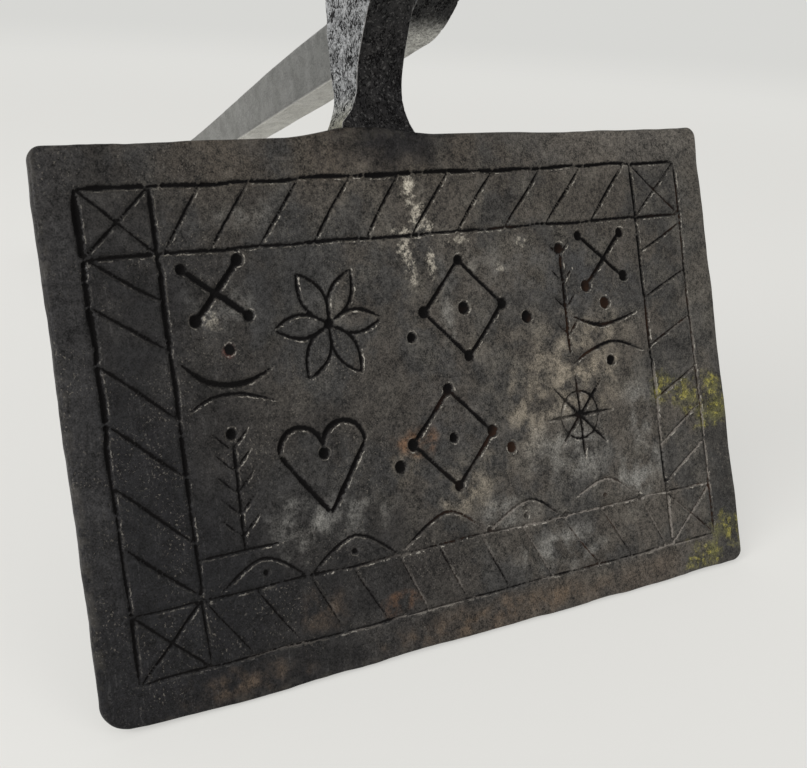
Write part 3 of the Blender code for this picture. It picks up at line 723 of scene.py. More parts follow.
def rim_order(cells):
    """The grid's border cells in order, from the lower left corner round by the right."""
    nx, nz = cells
    bottom = [(i, 0) for i in range(nx)]
    right = [(nx, j) for j in range(nz)]
    top = [(i, nz) for i in range(nx, 0, -1)]
    left = [(0, j) for j in range(nz, 0, -1)]
    return bottom + right + top + left


print(len(rim_order(FRONT_CELLS)), "points round the front,", len(rim_order(BACK_CELLS)), "round the back")


# %% The slab
FACE = 0.0005
PLATE_BACK = 0.0085
RIM_PROFILE = [
    (0.00045, 0.0007), (0.00014, 0.0011), (0.00001, 0.0017), (0.00001, 0.0027),
    (0.0006, 0.0036), (0.0030, 0.0066), (0.0046, 0.0084),
]
RIM_RINGS, RIM_FADE = 3, 0.0012
FRONT_INSET = 0.0010
BACK_RING = (0.0056, PLATE_BACK)
BACK_INSET = 0.0075


def grid_faces(cells, first, flip):
    nx, nz = cells
    i, j = np.meshgrid(np.arange(nx), np.arange(nz), indexing="ij")
    low = (first + i * (nz + 1) + j).ravel()
    quads = np.stack([low, low + nz + 1, low + nz + 2, low + 1], axis=1)
    return (quads[:, ::-1] if flip else quads).tolist()


def flat_points(x, y, z):
    return np.stack([x, np.full_like(x, y), z + PLATE_MIDDLE], axis=2).reshape(-1, 3)


def slab_mesh(name):
    """Front grid, rings round the rim, a ring that drops to a quarter of the points, back grid."""
    front_x, front_z = rounded_grid(FRONT_CELLS, FRONT_INSET)
    points = [flat_points(front_x, FACE, front_z)]
    rim = rim_order(FRONT_CELLS)
    row = [i * (FRONT_CELLS[1] + 1) + j for i, j in rim]
    faces = grid_faces(FRONT_CELLS, 0, False)
    count = len(points[0])
    for inset, y in RIM_PROFILE + [BACK_RING]:
        x, z = rounded_grid(FRONT_CELLS, inset)
        points.append(np.array([(x[spot], y, z[spot] + PLATE_MIDDLE) for spot in rim]))
        after = list(range(count, count + len(rim)))
        pairs = list(zip(row, after))
        faces += [(*pair, *following[::-1]) for pair, following in zip(pairs, pairs[1:] + pairs[:1])]
        row, count = after, count + len(rim)
    back_x, back_z = rounded_grid(BACK_CELLS, BACK_INSET)
    points.append(flat_points(back_x, PLATE_BACK, back_z))
    coarse = [count + i * (BACK_CELLS[1] + 1) + j for i, j in rim_order(BACK_CELLS)]
    for k, here in enumerate(coarse):
        there = coarse[k + 1 - len(coarse)]
        fine = [row[(4 * k + i) % len(row)] for i in range(5)]
        faces += [(fine[0], here, fine[1]), (fine[1], here, fine[2]), (here, there, fine[2])]
        faces += [(fine[2], there, fine[3]), (fine[3], there, fine[4])]
    faces += grid_faces(BACK_CELLS, count, True)
    mesh = bpy.data.meshes.new(name)
    mesh.from_pydata(np.concatenate(points).tolist(), [], faces)
    to_rim = np.minimum(PLATE_HALF[0] - np.abs(front_x), PLATE_HALF[1] - np.abs(front_z)).ravel()
    front, worn, total = len(points[0]), RIM_RINGS * len(rim), len(mesh.vertices)
    set_layer(mesh, "front", np.r_[np.ones(front), np.zeros(total - front)])
    set_layer(mesh, "rim", np.r_[
        np.clip(1 - (to_rim - FRONT_INSET) / RIM_FADE, 0, 1), np.ones(worn), np.zeros(total - front - worn)])
    mesh.shade_smooth()
    return mesh


# %% [markdown]
# ## Geometry nodes as a chisel
# A chisel moves metal by a rule: near its line it sinks a V, and it throws up a small burr on one side.
# That rule is a node tree. For each point of the face it finds the nearest stroke, first draws the
# points that lie close to the line or to the cut's edge on to them, so the V is crisp, and then pushes
# them in by the depth. The same tree gives the face its forging ripple and the outline its unevenness.

# %% Tree helpers
def read_layer(name, data_type="FLOAT"):
    return made("GeometryNodeInputNamedAttribute", {"Name": name}, data_type=data_type)


def store(geometry, name, value, data_type="FLOAT"):
    return made("GeometryNodeStoreNamedAttribute", {
        "Geometry": geometry, "Name": name, "Value": value}, data_type=data_type, domain="POINT")


def near_value(source, name, place):
    """What the nearest point of the source holds in the named layer."""
    index = made("GeometryNodeSampleNearest", {"Geometry": source, "Sample Position": place}, domain="POINT")
    return made("GeometryNodeSampleIndex", {
        "Geometry": source, "Value": read_layer(name), "Index": index}, data_type="FLOAT", domain="POINT")


def near_spot(source, place, element):
    """The way from the nearest spot of the source to the place, and how far that is."""
    found = add_node(
        "GeometryNodeProximity", {"Geometry": source, "Sample Position": place}, target_element=element)
    away = vector_calc("SUBTRACT", place, Wire(found.outputs["Position"]))
    return away, calc("MAXIMUM", Wire(found.outputs["Distance"]), 1e-7)


def shift(geometry, offset):
    return made("GeometryNodeSetPosition", {"Geometry": geometry, "Offset": offset})


def close_geometry(geometry, material):
    """Every tree for a piece ends alike: its instances are made real and its material is set."""
    geometry = made("GeometryNodeRealizeInstances", {"Geometry": geometry})
    geometry = made("GeometryNodeSetMaterial", {"Geometry": geometry, "Material": material})
    return close_group("Geometry", GEOMETRY, geometry)


# %% The chisel's tree
SNAP_SHARE = 0.85
BURR_SIDE = (0.6, 0.0, -0.8)


def snap_pull(distance, half_width, reach, centre):
    """How far a point is drawn on to the cut's edge, and to its middle line where centre is 1."""
    to_edge = half_width - distance
    at_middle = calc("LESS_THAN", distance, reach) * centre
    at_edge = calc("LESS_THAN", calc("ABSOLUTE", to_edge), reach) * (1.0 - at_middle)
    return (to_edge / distance * at_edge - at_middle) * SNAP_SHARE


def burr(lean, distance, half_width, width, seed, place):
    """A lip just outside the cut, strongest on its lower right, and broken here and there."""
    beyond = (distance - half_width) / width
    bump = calc("SUBTRACT", 1.0, calc("ABSOLUTE", beyond - 0.6), clamp=True)
    broken = fade(noise(place, 260.0, seed=seed), 0.42, 0.6)
    return bump * fade(lean, -0.4, 0.5, 0.15, 1.0) * broken


def outline_wobble(place, wobble, half_size, root, seed):
    """Draws the outline in by a slowly changing amount. The eighth power keeps it to the rim."""
    middle = vector_calc("SUBTRACT", place, (0.0, 0.0, PLATE_MIDDLE))
    rooted = fade(vector_calc("DISTANCE", place, root), 0.028, 0.060)
    waves = calc("SUBTRACT", noise(place, 45.0, 3.0, seed=seed), 0.38, clamp=True)
    amount = waves * wobble * rooted
    x, _, z = parts(vector_calc("DIVIDE", middle, half_size))
    across, up = (calc("POWER", share, 8.0) * calc("SIGN", share) * amount * -1.0 for share in (x, z))
    return joined(across, 0.0, up)


def chisel_tree():
    (given, stroke_wires, dot_wires, snap, lip_height, lip_width, ripple, wobble, half_size, root, seed,
     material) = open_group("Chisel", "GeometryNodeTree", {
         "Geometry": GEOMETRY, "Strokes": OBJECT, "Dots": OBJECT, "Snap": 0.00026, "Lip Height": 0.00012,
         "Lip Width": 0.0005, "Ripple": 0.00022, "Outline Wobble": 0.0022, "Half Size": VECTOR,
         "Root": VECTOR, "Seed": 0.0, "Material": MATERIAL})
    place = made("GeometryNodeInputPosition")
    flat = vector_calc("MULTIPLY", place, (1.0, 0.0, 1.0))
    front = read_layer("front")
    sources = [made("GeometryNodeObjectInfo", {"Object": wires}, "Geometry")
               for wires in (stroke_wires, dot_wires)]
    aways, fars, halves, depths, leans = [], [], [], [], []
    for source, element in zip(sources, ("EDGES", "POINTS")):
        away, far = near_spot(source, flat, element)
        aways.append(away)
        fars.append(far)
        halves.append(near_value(source, "half_width", flat))
        depths.append(near_value(source, "depth", flat))
        leans.append(vector_calc("DOT_PRODUCT", away, BURR_SIDE) / far)
    line_far, dot_far = fars
    line_half, dot_half = halves

    at_dot = calc("LESS_THAN", dot_far, dot_half + snap)
    line_pull = snap_pull(line_far, line_half, snap, 1.0) * (1.0 - at_dot)
    dot_pull = snap_pull(dot_far, dot_half, snap, 0.0) * at_dot
    pulls = [vector_calc("SCALE", away, pull * front) for away, pull in zip(aways, (line_pull, dot_pull))]
    geometry = shift(given, vector_calc("ADD", *pulls))

    share = calc("SUBTRACT", 1.0, line_far / line_half, clamp=True)
    ratio = dot_far / dot_half
    bowl = calc("SUBTRACT", 1.0, ratio * ratio, clamp=True)
    groove, hollow = calc("POWER", share, 0.65) * depths[0], calc("POWER", bowl, 0.6) * depths[1]
    sunk = calc("MAXIMUM", groove, hollow) * front
    lips = [burr(*row, lip_width, seed, flat) for row in zip(leans, fars, halves)]
    lip = calc("MAXIMUM", *lips) * calc("LESS_THAN", sunk, 1e-6) * front
    line_gap, dot_gap = line_far - line_half, dot_far - dot_half
    gap = calc("MINIMUM", line_gap, dot_gap) * 1000.0 + (1.0 - front) * 9.0
    geometry = store(geometry, "gap_mm", gap)
    geometry = store(geometry, "dot", calc("LESS_THAN", dot_gap, line_gap))
    geometry = store(geometry, "lean", leans[0])

    rooted = fade(vector_calc("DISTANCE", flat, root), 0.012, 0.035)
    waves = noise(flat, 34.0, seed=seed) + noise(flat, 130.0, seed=seed) * 0.5
    inward = sunk - lip * lip_height + waves * ripple * rooted * front
    geometry = shift(geometry, joined(0.0, inward, 0.0))
    geometry = shift(geometry, outline_wobble(place, wobble, half_size, root, seed))
    return close_geometry(geometry, material)


CHISEL = chisel_tree()
print("chisel tree:", len(CHISEL.nodes), "nodes")


# %% Running a tree on a piece
def run_tree(thing, tree, **inputs):
    """Puts the tree on the object, with each named input set by its socket's identifier."""
    modifier = thing.modifiers.new(tree.name, "NODES")
    modifier.node_group = tree
    sockets = {item.name: item.identifier for item in tree.interface.items_tree if item.in_out == "INPUT"}
    for label, value in inputs.items():
        modifier[sockets[label.replace("_", " ").title()]] = value


def settle(thing, place):
    """Keeps the evaluated result as a plain mesh at its place, and drops the modifiers."""
    graph = bpy.context.evaluated_depsgraph_get()
    mesh = bpy.data.meshes.new_from_object(
        thing.evaluated_get(graph), preserve_all_data_layers=True, depsgraph=graph)
    thing.modifiers.clear()
    thing.data = mesh
    mesh.transform(place)
    print(thing.name, len(mesh.polygons), "faces")


def hand_over(thing, place, body, node):
    """Settles a piece, hangs it on the body it rides on, and hides the solid it stands for."""
    settle(thing, place)
    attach(thing, body)
    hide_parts(node)


# %% [markdown]
# ## Finishes
# All the iron starts from the same dark scale, and every finish is a stack of tones: each is laid over
# what is below it where its mask is. The plates are near black with brown and grey wear, and painted
# highlights beside the cuts. The necks are scaled and pitted, with grey sides that are partly rubbed and
# partly painted light, and the reins are smoother and greyer.

# %% Layers of colour
SHEEN = 0.16


def grey(level, warmth=0.0):
    """A grey by its light level, made warmer or cooler."""
    return (level * (1 + warmth), level, level * (1 - warmth))


def lay_all(colour, layers):
    """Lays (tone, mask, strength) one after another over the colour."""
    for tone, mask, strength in layers:
        colour = lay(colour, tone, mask, strength)
    return colour


def layer_value(name):
    return made("ShaderNodeAttribute", output="Fac", attribute_name=name)


def own_place(place):
    """Object coordinates, turned back to the way the half is drawn shut."""
    return made("ShaderNodeMapping", {
        "Vector": made("ShaderNodeTexCoord", output="Object"), "Location": place.translation,
        "Rotation": place.to_euler(),
    }, vector_type="TEXTURE")


def finish_iron(shader, colour, height, rough_mask, roughness=(0.42, 0.62), dull=None):
    """Wires the colour, the roughness and the height, in metres, to the shader."""
    feed(shader.inputs["Base Color"], colour)
    spread = fade(rough_mask, 0.0, 1.0, *roughness)
    feed(shader.inputs["Roughness"], spread if dull is None else calc("MAXIMUM", spread, dull))
    bump = made("ShaderNodeBump", {"Height": height, "Strength": 1.0, "Distance": 1.0})
    feed(shader.inputs["Normal"], bump)


# %% [markdown]
# ### The plates' black iron
# From below up: scale that is nearly black at the lower left corner, where the heat sat, and grey brown
# elsewhere; broad clouds; rubbed places; a fine grit; then the cuts. Each point of the face knows how
# far it is from the nearest cut's edge, so soot darkens the cuts towards their bottoms, and a thin broken
# burr runs beside them on the lower right, with a painted highlight on it. Low on the right the cuts are
# half filled, and one wall of them is painted pale, as if lit. A faint painted highlight runs along the
# rim. The lower plate also has marks that lie at one place each.

# %% Marks on the lower plate
CHALK, RUBBED, BEIGE = (0.34, 0.31, 0.255), (0.145, 0.140, 0.128), (0.190, 0.163, 0.125)
ORANGE, RED, BROWN = (0.135, 0.066, 0.030), (0.085, 0.020, 0.013), (0.095, 0.066, 0.043)
DUSK, SLATE = (0.021, 0.0205, 0.021), (0.034, 0.035, 0.0375)
SCRAPES = [
    ((-3.9, 46.8), (1.9, 4.2), 0.95), ((-2.2, 40.6), (2.4, 4.0), 0.9), ((-6.8, 37.4), (3.8, 1.0), 0.8),
    ((1.0, 38.0), (1.8, 1.3), 0.9), ((-6.3, 32.3), (1.9, 5.6), 0.9), ((-5.2, 26.3), (1.3, 3.6), 0.6),
    ((0.3, 29.6), (1.3, 3.4), 0.8), ((27.0, 32.8), (1.6, 2.0), 0.5), ((-57.0, 21.0), (2.0, 2.0), 0.4),
    ((9.0, 34.4), (3.4, 1.0), 0.6), ((20.0, 27.0), (1.2, 1.2), 0.4),
]
RUBS = [
    ((42.0, 20.0), (30.0, 18.0), SLATE, 0.6), ((2.0, -4.0), (14.0, 12.0), SLATE, 0.45),
    ((-50.0, 24.0), (24.0, 16.0), DUSK, 0.6), ((-52.0, -18.0), (20.0, 14.0), DUSK, 0.35),
    ((30.0, -2.0), (34.0, 26.0), BEIGE, 0.22),
    ((-41.8, -25.5), (8.0, 8.5), RUBBED, 0.8), ((29.0, -44.5), (15.0, 7.0), RUBBED, 0.85),
    ((56.0, -29.5), (12.0, 9.0), RUBBED, 0.9), ((60.0, -14.0), (7.0, 12.0), RUBBED, 0.8),
    ((14.0, -32.0), (11.0, 5.0), RUBBED, 0.7), ((24.0, -8.0), (8.0, 12.0), BEIGE, 0.8),
    ((45.5, -1.0), (9.0, 6.0), BEIGE, 0.75), ((2.5, -27.0), (8.0, 5.0), BEIGE, 0.7),
    ((-13.0, -17.0), (5.0, 4.5), BEIGE, 0.85), ((40.0, -22.0), (9.0, 8.0), RUBBED, 0.7),
    ((3.0, 13.5), (4.0, 8.0), RUBBED, 0.6), ((-28.0, 22.0), (8.0, 9.0), RUBBED, 0.2),
    ((38.0, -1.0), (17.0, 15.0), BEIGE, 0.75), ((33.0, -20.0), (15.0, 10.0), RUBBED, 0.6),
    ((-29.0, -24.0), (12.0, 7.0), RUBBED, 0.5), ((6.0, -22.0), (12.0, 6.0), BEIGE, 0.4),
    ((51.0, 8.0), (10.0, 8.0), BEIGE, 0.5), ((16.0, 27.0), (20.0, 7.0), RUBBED, 0.25),
    ((-53.5, 24.0), (9.0, 8.0), RUBBED, 0.35), ((-46.0, 43.0), (12.0, 4.0), RUBBED, 0.35),
    ((-9.7, -12.0), (6.5, 4.5), ORANGE, 0.8), ((-19.0, -47.8), (5.5, 3.0), ORANGE, 0.85),
    ((-53.7, 14.8), (2.0, 2.0), RED, 0.95), ((10.0, -56.0), (34.0, 4.0), BROWN, 0.8),
    ((-60.0, -56.0), (16.0, 4.0), BROWN, 0.5), ((-38.0, -45.0), (7.0, 6.0), BROWN, 0.4),
]
PAINT = [
    ((68.0, -9.3), (4.5, 4.0)), ((76.0, -11.8), (7.0, 5.6)), ((85.0, -17.8), (6.5, 5.0)),
    ((86.0, -11.5), (5.0, 5.0)), ((77.5, -55.6), (8.5, 4.2)), ((86.5, -50.5), (6.5, 5.5)),
]
PAINT_FILM, PAINT_BRIGHT = (0.088, 0.084, 0.030), (0.36, 0.32, 0.06)


def patch_at(place, middle, size, ragged, grain, core):
    """A patch by its middle and its half size on the plate, in millimetres."""
    (x, z), (half_width, half_height) = middle, size
    return patch(place, x * MM, PLATE_MIDDLE + z * MM, half_width * MM, half_height * MM, ragged, grain, core)


def lay_marks(place, colour):
    """Soft rubs broken up by blotches, chalky scrapes broken up finer still, and old paint in flecks."""
    worn = blotches(place, 190.0, 6.0, 0.38, 0.62)
    broken = blotches(place, 900.0, 6.0, 0.38, 0.54)
    flecks = blotches(place, 700.0, 4.0, 0.50, 0.62)
    colour = lay_all(colour, [
        (tone, patch_at(place, middle, size, 0.5, 140.0, 0.1) * worn, strength)
        for middle, size, tone, strength in RUBS])
    colour = lay_all(colour, [
        (CHALK, patch_at(place, middle, size, 0.9, 520.0, 0.3) * broken, strength)
        for middle, size, strength in SCRAPES])
    for middle, size in PAINT:
        film = patch_at(place, middle, size, 0.8, 160.0, 0.2)
        colour = lay(colour, PAINT_FILM, film * fade(worn, 0.0, 1.0, 0.35, 1.0), 0.85)
        colour = lay(colour, PAINT_BRIGHT, film * flecks, 0.48)
    return colour


print(len(RUBS), "rubs,", len(SCRAPES), "scrapes and", len(PAINT), "spots of old paint")


# %% Plate finish
SCALE_DARK, SCALE_PALE = (0.0080, 0.0078, 0.0086), (0.060, 0.0525, 0.0440)
SCALE_COOL, SCALE_WORN = (0.027, 0.0275, 0.028), (0.088, 0.080, 0.067)
TOP_BROWN, TOP_PALE, ROOT_BLACK = (0.072, 0.057, 0.042), (0.125, 0.112, 0.097), (0.0095, 0.0090, 0.0100)
LOW_BROWN, LEFT_GREY = (0.080, 0.060, 0.043), (0.030, 0.0285, 0.0285)
RIGHT_PALE, RIGHT_DARK = (0.100, 0.092, 0.078), (0.024, 0.023, 0.022)
# Soot and rust are the iron's own. The burr tone and the wall tone below are painted highlights: on the lit
# side of the burr, along the rim and on the glints.
SOOT, CUT_RUST, BURR_HIGHLIGHT = (0.0030, 0.0026, 0.0026), (0.030, 0.015, 0.009), (0.36, 0.335, 0.29)
PAINTED_HIGHLIGHT_GREY = (0.125, 0.113, 0.095)


def plate_scale(place):
    """The scale itself, dark at the lower left corner. Then the worn top edge, the blackened spot by
    the neck's foot, and the bottom, left and right edges."""
    x, _, z = parts(place)
    height = z - PLATE_MIDDLE
    clouds = blotches(place, 34.0, 5.0, 0.3, 0.7)
    slant = height * 0.55 + x + (clouds - 0.5) * 0.03
    top_left = fade(height, 0.045, 0.054) * fade(x, -0.075, -0.035) * fade(clouds, 0.2, 0.8)
    low_edge = fade(height, -0.050, -0.055) * fade(slant, -0.06, 0.01)
    return lay_all(lay(SCALE_DARK, SCALE_PALE, fade(slant, -0.090, 0.042)), [
        (SCALE_COOL, blotches(place, 46.0, 6.0, 0.46, 0.55) * fade(slant, -0.07, -0.02), 0.6),
        (SCALE_WORN, blotches(place, 110.0, 7.0, 0.48, 0.66) * fade(slant, -0.08, 0.05), 0.6),
        (TOP_BROWN, top_left * fade_out(x, 0.02, 0.05, 0.45), 0.5),
        (TOP_PALE, fade(height, 0.046, 0.056) * fade(x, 0.01, 0.06), 0.6),
        (ROOT_BLACK, patch(place, -0.006, PLATE_HIGH, 0.022, 0.012, 0.5, 90.0, 0.2), 0.92),
        (LOW_BROWN, low_edge * fade(clouds, 0.0, 0.7), 0.5),
        (LEFT_GREY, fade(x, -0.080, -0.086) * fade(height, -0.050, -0.01), 0.45),
        (RIGHT_PALE, fade(x, 0.077, 0.082) * fade(height, -0.005, 0.008), 0.3),
        (RIGHT_DARK, fade(x, 0.077, 0.083) * fade(height, -0.008, -0.022), 0.7),
    ])


def cut_layers(place, colour):
    """Soot in the cuts, rust in a few of them, a broken painted highlight on the burr beside them, a faint
    painted highlight along the rim, and a painted pale wall in the half-filled cuts.
    """
    gap, dot, lean, rim = (layer_value(name) for name in ("gap_mm", "dot", "lean", "rim"))
    x, _, z = parts(place)
    gap = blotches(place, 1300.0, 3.0, 0.3, 0.7) * 0.26 + (gap - 0.13)
    patchy = blotches(place, 85.0, 3.0, 0.36, 0.54)
    faint = blotches(place, 430.0, 5.0, 0.44, 0.58) * patchy
    bright = blotches(place, 800.0, 3.0, 0.52, 0.60) * patchy
    # Where the highlight is painted: on the burr side of each cut, its lower right, and all round the dots,
    # weaker on the left.
    toward_light = calc("MAXIMUM", fade(lean, 0.0, 0.7), dot * 0.85) * fade(x, -0.075, -0.030, 0.35, 1.0)
    above_edge = fade(z, PLATE_LOW + 0.014, PLATE_LOW + 0.018, 0.5, 1.0)
    highlight_band = fade(gap, -0.02, 0.06) * fade(gap, 0.38, 0.14) * toward_light * above_edge
    low_right = x * 0.5 - (z - PLATE_MIDDLE)
    filled = blotches(place, 55.0, 3.0, 0.42, 0.56) * fade(low_right, 0.012, 0.052)
    # A painted lit wall: one wall of the half-filled cuts low on the right is painted pale, as if light fell
    # on it.
    lit = fade(gap, 0.02, -0.06) * fade(gap, -0.42, -0.20) * fade(lean, -0.2, 0.5) * filled
    sunk = fade(gap, 0.06, -0.36)
    rust = blotches(place, 42.0, 4.0, 0.50, 0.64) * fade(gap, -0.12, -0.40)
    rusty_part = fade(x, -0.02, 0.01) * fade(z, PLATE_HIGH - 0.013, PLATE_HIGH - 0.019)
    # Laid in order: a painted highlight on the burr band, a faint painted highlight along the rim, soot, the
    # painted pale wall, and rust.
    return lay_all(colour, [
        (PAINTED_HIGHLIGHT_GREY, highlight_band * faint, 0.75), (BURR_HIGHLIGHT, highlight_band * bright, 0.9), (PAINTED_HIGHLIGHT_GREY, rim * faint, 0.15),
        (SOOT, sunk * fade_out(filled, 0.0, 1.0, 0.30), 1.0), (grey(0.17, 0.12), lit, 0.9),
        (CUT_RUST, rust * rusty_part, 0.9),
    ]), sunk


def plate_finish(name, place, marked):
    material, shader = open_material(name)
    shader.inputs["Specular IOR Level"].default_value = SHEEN
    spot = own_place(place)
    colour = plate_scale(spot)
    if marked:
        colour = lay(colour, lay_marks(spot, colour), fade_out(parts(spot)[1], 0.003, 0.006))
    grain = grit(spot, 2700.0, 1.15)
    glints = blotches(spot, 1900.0, 2.0, 0.60, 0.70) * blotches(spot, 60.0, 4.0, 0.42, 0.64)
    scratched = scratches(spot, 150.0, 0.4) * fade(grain, 0.8, 1.4)
    colour = lay_all(vector_calc("SCALE", colour, grain), [
        (PAINTED_HIGHLIGHT_GREY, glints, 0.75), (grey(0.10, 0.04), scratched, 0.4)])
    colour, sunk = cut_layers(spot, colour)
    mottle = blotches(spot, 150.0, 6.0, 0.40, 0.64)
    finish_iron(shader, colour, mottle * -0.00008 + grain * 0.00003, mottle, dull=sunk)
    return material


LOWER_PLATE_IRON = plate_finish("lower_plate_black_iron", LOWER, True)
UPPER_PLATE_IRON = plate_finish("upper_plate_black_iron", UPPER, False)
print("plate finishes ready")

# %% Make the plates
ROOT_SPOT = (-0.0064, 0.0, PLATE_HIGH)


def make_plate(name, wires, seed, finish, place, body, node):
    plate = add_thing(name, slab_mesh(name))
    run_tree(plate, CHISEL, strokes=wires[0], dots=wires[1], half_size=(PLATE_HALF[0], 1.0, PLATE_HALF[1]),
             root=ROOT_SPOT, seed=seed, material=finish)
    hand_over(plate, place, body, node)
    for wire in wires:
        bpy.data.objects.remove(wire)


make_plate("lower_plate_carved", LOWER_WIRES, 1.0, LOWER_PLATE_IRON, LOWER, "lower_half", "lower_plate")
make_plate("upper_plate_carved", UPPER_WIRES, 4.0, UPPER_PLATE_IRON, UPPER, "upper_half", "upper_plate")

# %% [markdown]
# ## The arms
# Behind each plate a tongue laps the back, thickens to a shoulder, rises as the neck, sweeps across to
# the other side at the rivet and runs on as the rein. It is one bar whose section changes smoothly, so
# it is lofted: a ring of points is worked out for each level, from the same rules as the solids, and
# the rings are joined. The rein is welded on with a slanting lap, so the loft is cut in two there.

# %% Sizes of an arm
ARM_INNER, ARM_OUTER, ARM_MIDDLE = 0.0003, 0.0125, 0.0064
ARM_WIDTH = ARM_OUTER - ARM_INNER
NECK_INNER, NECK_OUTER = 0.0028, 0.0140
NECK_FILLET_HEIGHT, FLARE_RADIUS = 0.009, 0.0065
CROSSING_LENGTH, CROSSING_SHIFT = 0.040, 0.012
TONGUE_LENGTH, TONGUE_TIP = 0.034, 0.0012
NECK_CORNER, REIN_CORNER = 0.0008, 0.0012
REIN_REACH, REIN_START, REIN_OUTER = 0.354, 0.037, 0.0159
REIN_ROOT_DEPTH, REIN_TIP_DEPTH, REIN_TAPER_LENGTH = 0.0148, 0.0100, 0.120
REIN_TIP_WIDTH, SCARF_SLOPE = 0.0098, 0.9
KNOB_LENGTH, KNOB_SWELL = 0.020, 0.0014
EYE_RADIUS, EYE_HOLE_RADIUS = 0.0094, 0.0036
FLARE_REACH, FLARE_HEIGHT, FOOT_REACH, FOOT_HEIGHT = 0.0033, 0.0115, 0.0006, 0.0005
FOOT_SHIFT = 0.0023
SEAM, SKIN, SKIN_REACH = 0.0003, 0.00003, 0.002
TONGUE_NARROWS, TONGUE_SINK = 0.92, 0.0005
WIDTH_TURNS, SKIN_EMERGES = (0.009, 0.002), (0.0022, 0.0015)
LEFT_SIDE = (
    (-0.048, 0.0, 0.0), (-0.039, 0.0058, 0.0040), (-0.0388, 0.0042, 0.0025), (-0.0384, 0.0027, 0.0013),
    (-0.0378, 0.0020, 0.0009), (-0.0356, 0.0027, 0.0009), (-0.0325, 0.0012, 0.0010),
    (-0.029, 0.0008, 0.0009), (-0.0225, 0.0009, 0.0008), (-0.0120, 0.0005, 0.0006), (-0.0085, 0.0, 0.0),
)
EYE_Z = REIN_REACH - EYE_RADIUS
EYE_START = EYE_Z - 1.6 * EYE_RADIUS
END_ROUNDING, KNOB_CREST = 0.0018, 0.87
CORNER_TURNS, STEM_ENDS = 0.006, (0.002, 0.004)
REIN_MIDDLE_Y = REIN_TIP_DEPTH / 2 - REIN_OUTER


def blend(low, high, value):
    """0 below low, 1 above high, and an S between them."""
    share = min(max((value - low) / (high - low), 0), 1)
    return share * share * (3 - 2 * share)


def mix(a, b, share):
    return a + (b - a) * share


print("arm", round(ARM_WIDTH / MM, 1), "mm wide, eye", round(EYE_Z / MM, 1), "mm above the rivet")


# %% The section at each level
def inner_face(z):
    crossing = blend(-CROSSING_SHIFT - CROSSING_LENGTH / 2, -CROSSING_SHIFT + CROSSING_LENGTH / 2, z)
    y = mix(NECK_INNER, -REIN_OUTER, crossing)
    rise = min(max((z - PLATE_HIGH) / NECK_FILLET_HEIGHT, 0), 1)
    return y - (NECK_INNER - FACE) * (1 - rise) ** 2


def outer_face(z):
    crossing = blend(CROSSING_SHIFT - CROSSING_LENGTH / 2, CROSSING_SHIFT + CROSSING_LENGTH / 2, z)
    return mix(NECK_OUTER, REIN_ROOT_DEPTH - REIN_OUTER, crossing)


def flare(z):
    """How far the sides swing out: a long slim curve, with a small foot on the plate's edge."""
    rise = z - PLATE_HIGH
    return FLARE_REACH * max(0.0, 1 - rise / FLARE_HEIGHT) ** 1.6 + FOOT_REACH * math.exp(-rise / FOOT_HEIGHT)


def foot_shift(z):
    """How far the foot spreads more to the left than to the right."""
    if z > PLATE_HIGH:
        return -FOOT_SHIFT * max(0.0, 1 - (z - PLATE_HIGH) / FLARE_HEIGHT) ** 1.6
    return -FOOT_SHIFT * blend(PLATE_HIGH - WIDTH_TURNS[0], PLATE_HIGH, z)


def left_spread(z):
    """How far the left side's front and back corners stand out, because the neck isn't quite square."""
    heights, *rows = zip(*LEFT_SIDE)
    return [float(np.interp(z, heights, row)) for row in rows]


def tongue_section(z):
    """Below the plate's edge: behind the plate, and near the edge also a thin skin on its face."""
    share = (PLATE_HIGH - z) / TONGUE_LENGTH
    spread = (ARM_WIDTH / 2 + FLARE_RADIUS) * math.sqrt(1 - TONGUE_NARROWS * share**2)
    turning = blend(*(PLATE_HIGH - drop for drop in WIDTH_TURNS), z)
    spread = mix(spread, ARM_WIDTH / 2 + flare(PLATE_HIGH), turning)
    high = PLATE_BACK + SEAM + mix(NECK_OUTER - PLATE_BACK - SEAM, TONGUE_TIP, share)
    emerging = blend(*(PLATE_HIGH - drop for drop in SKIN_EMERGES), z)
    low = mix(PLATE_BACK - TONGUE_SINK, FACE - SKIN, emerging)
    return spread, low, high, NECK_CORNER


def neck_section(z):
    low = inner_face(z) - SKIN * (z < PLATE_HIGH + SKIN_REACH)
    return ARM_WIDTH / 2 + flare(z), low, outer_face(z), NECK_CORNER


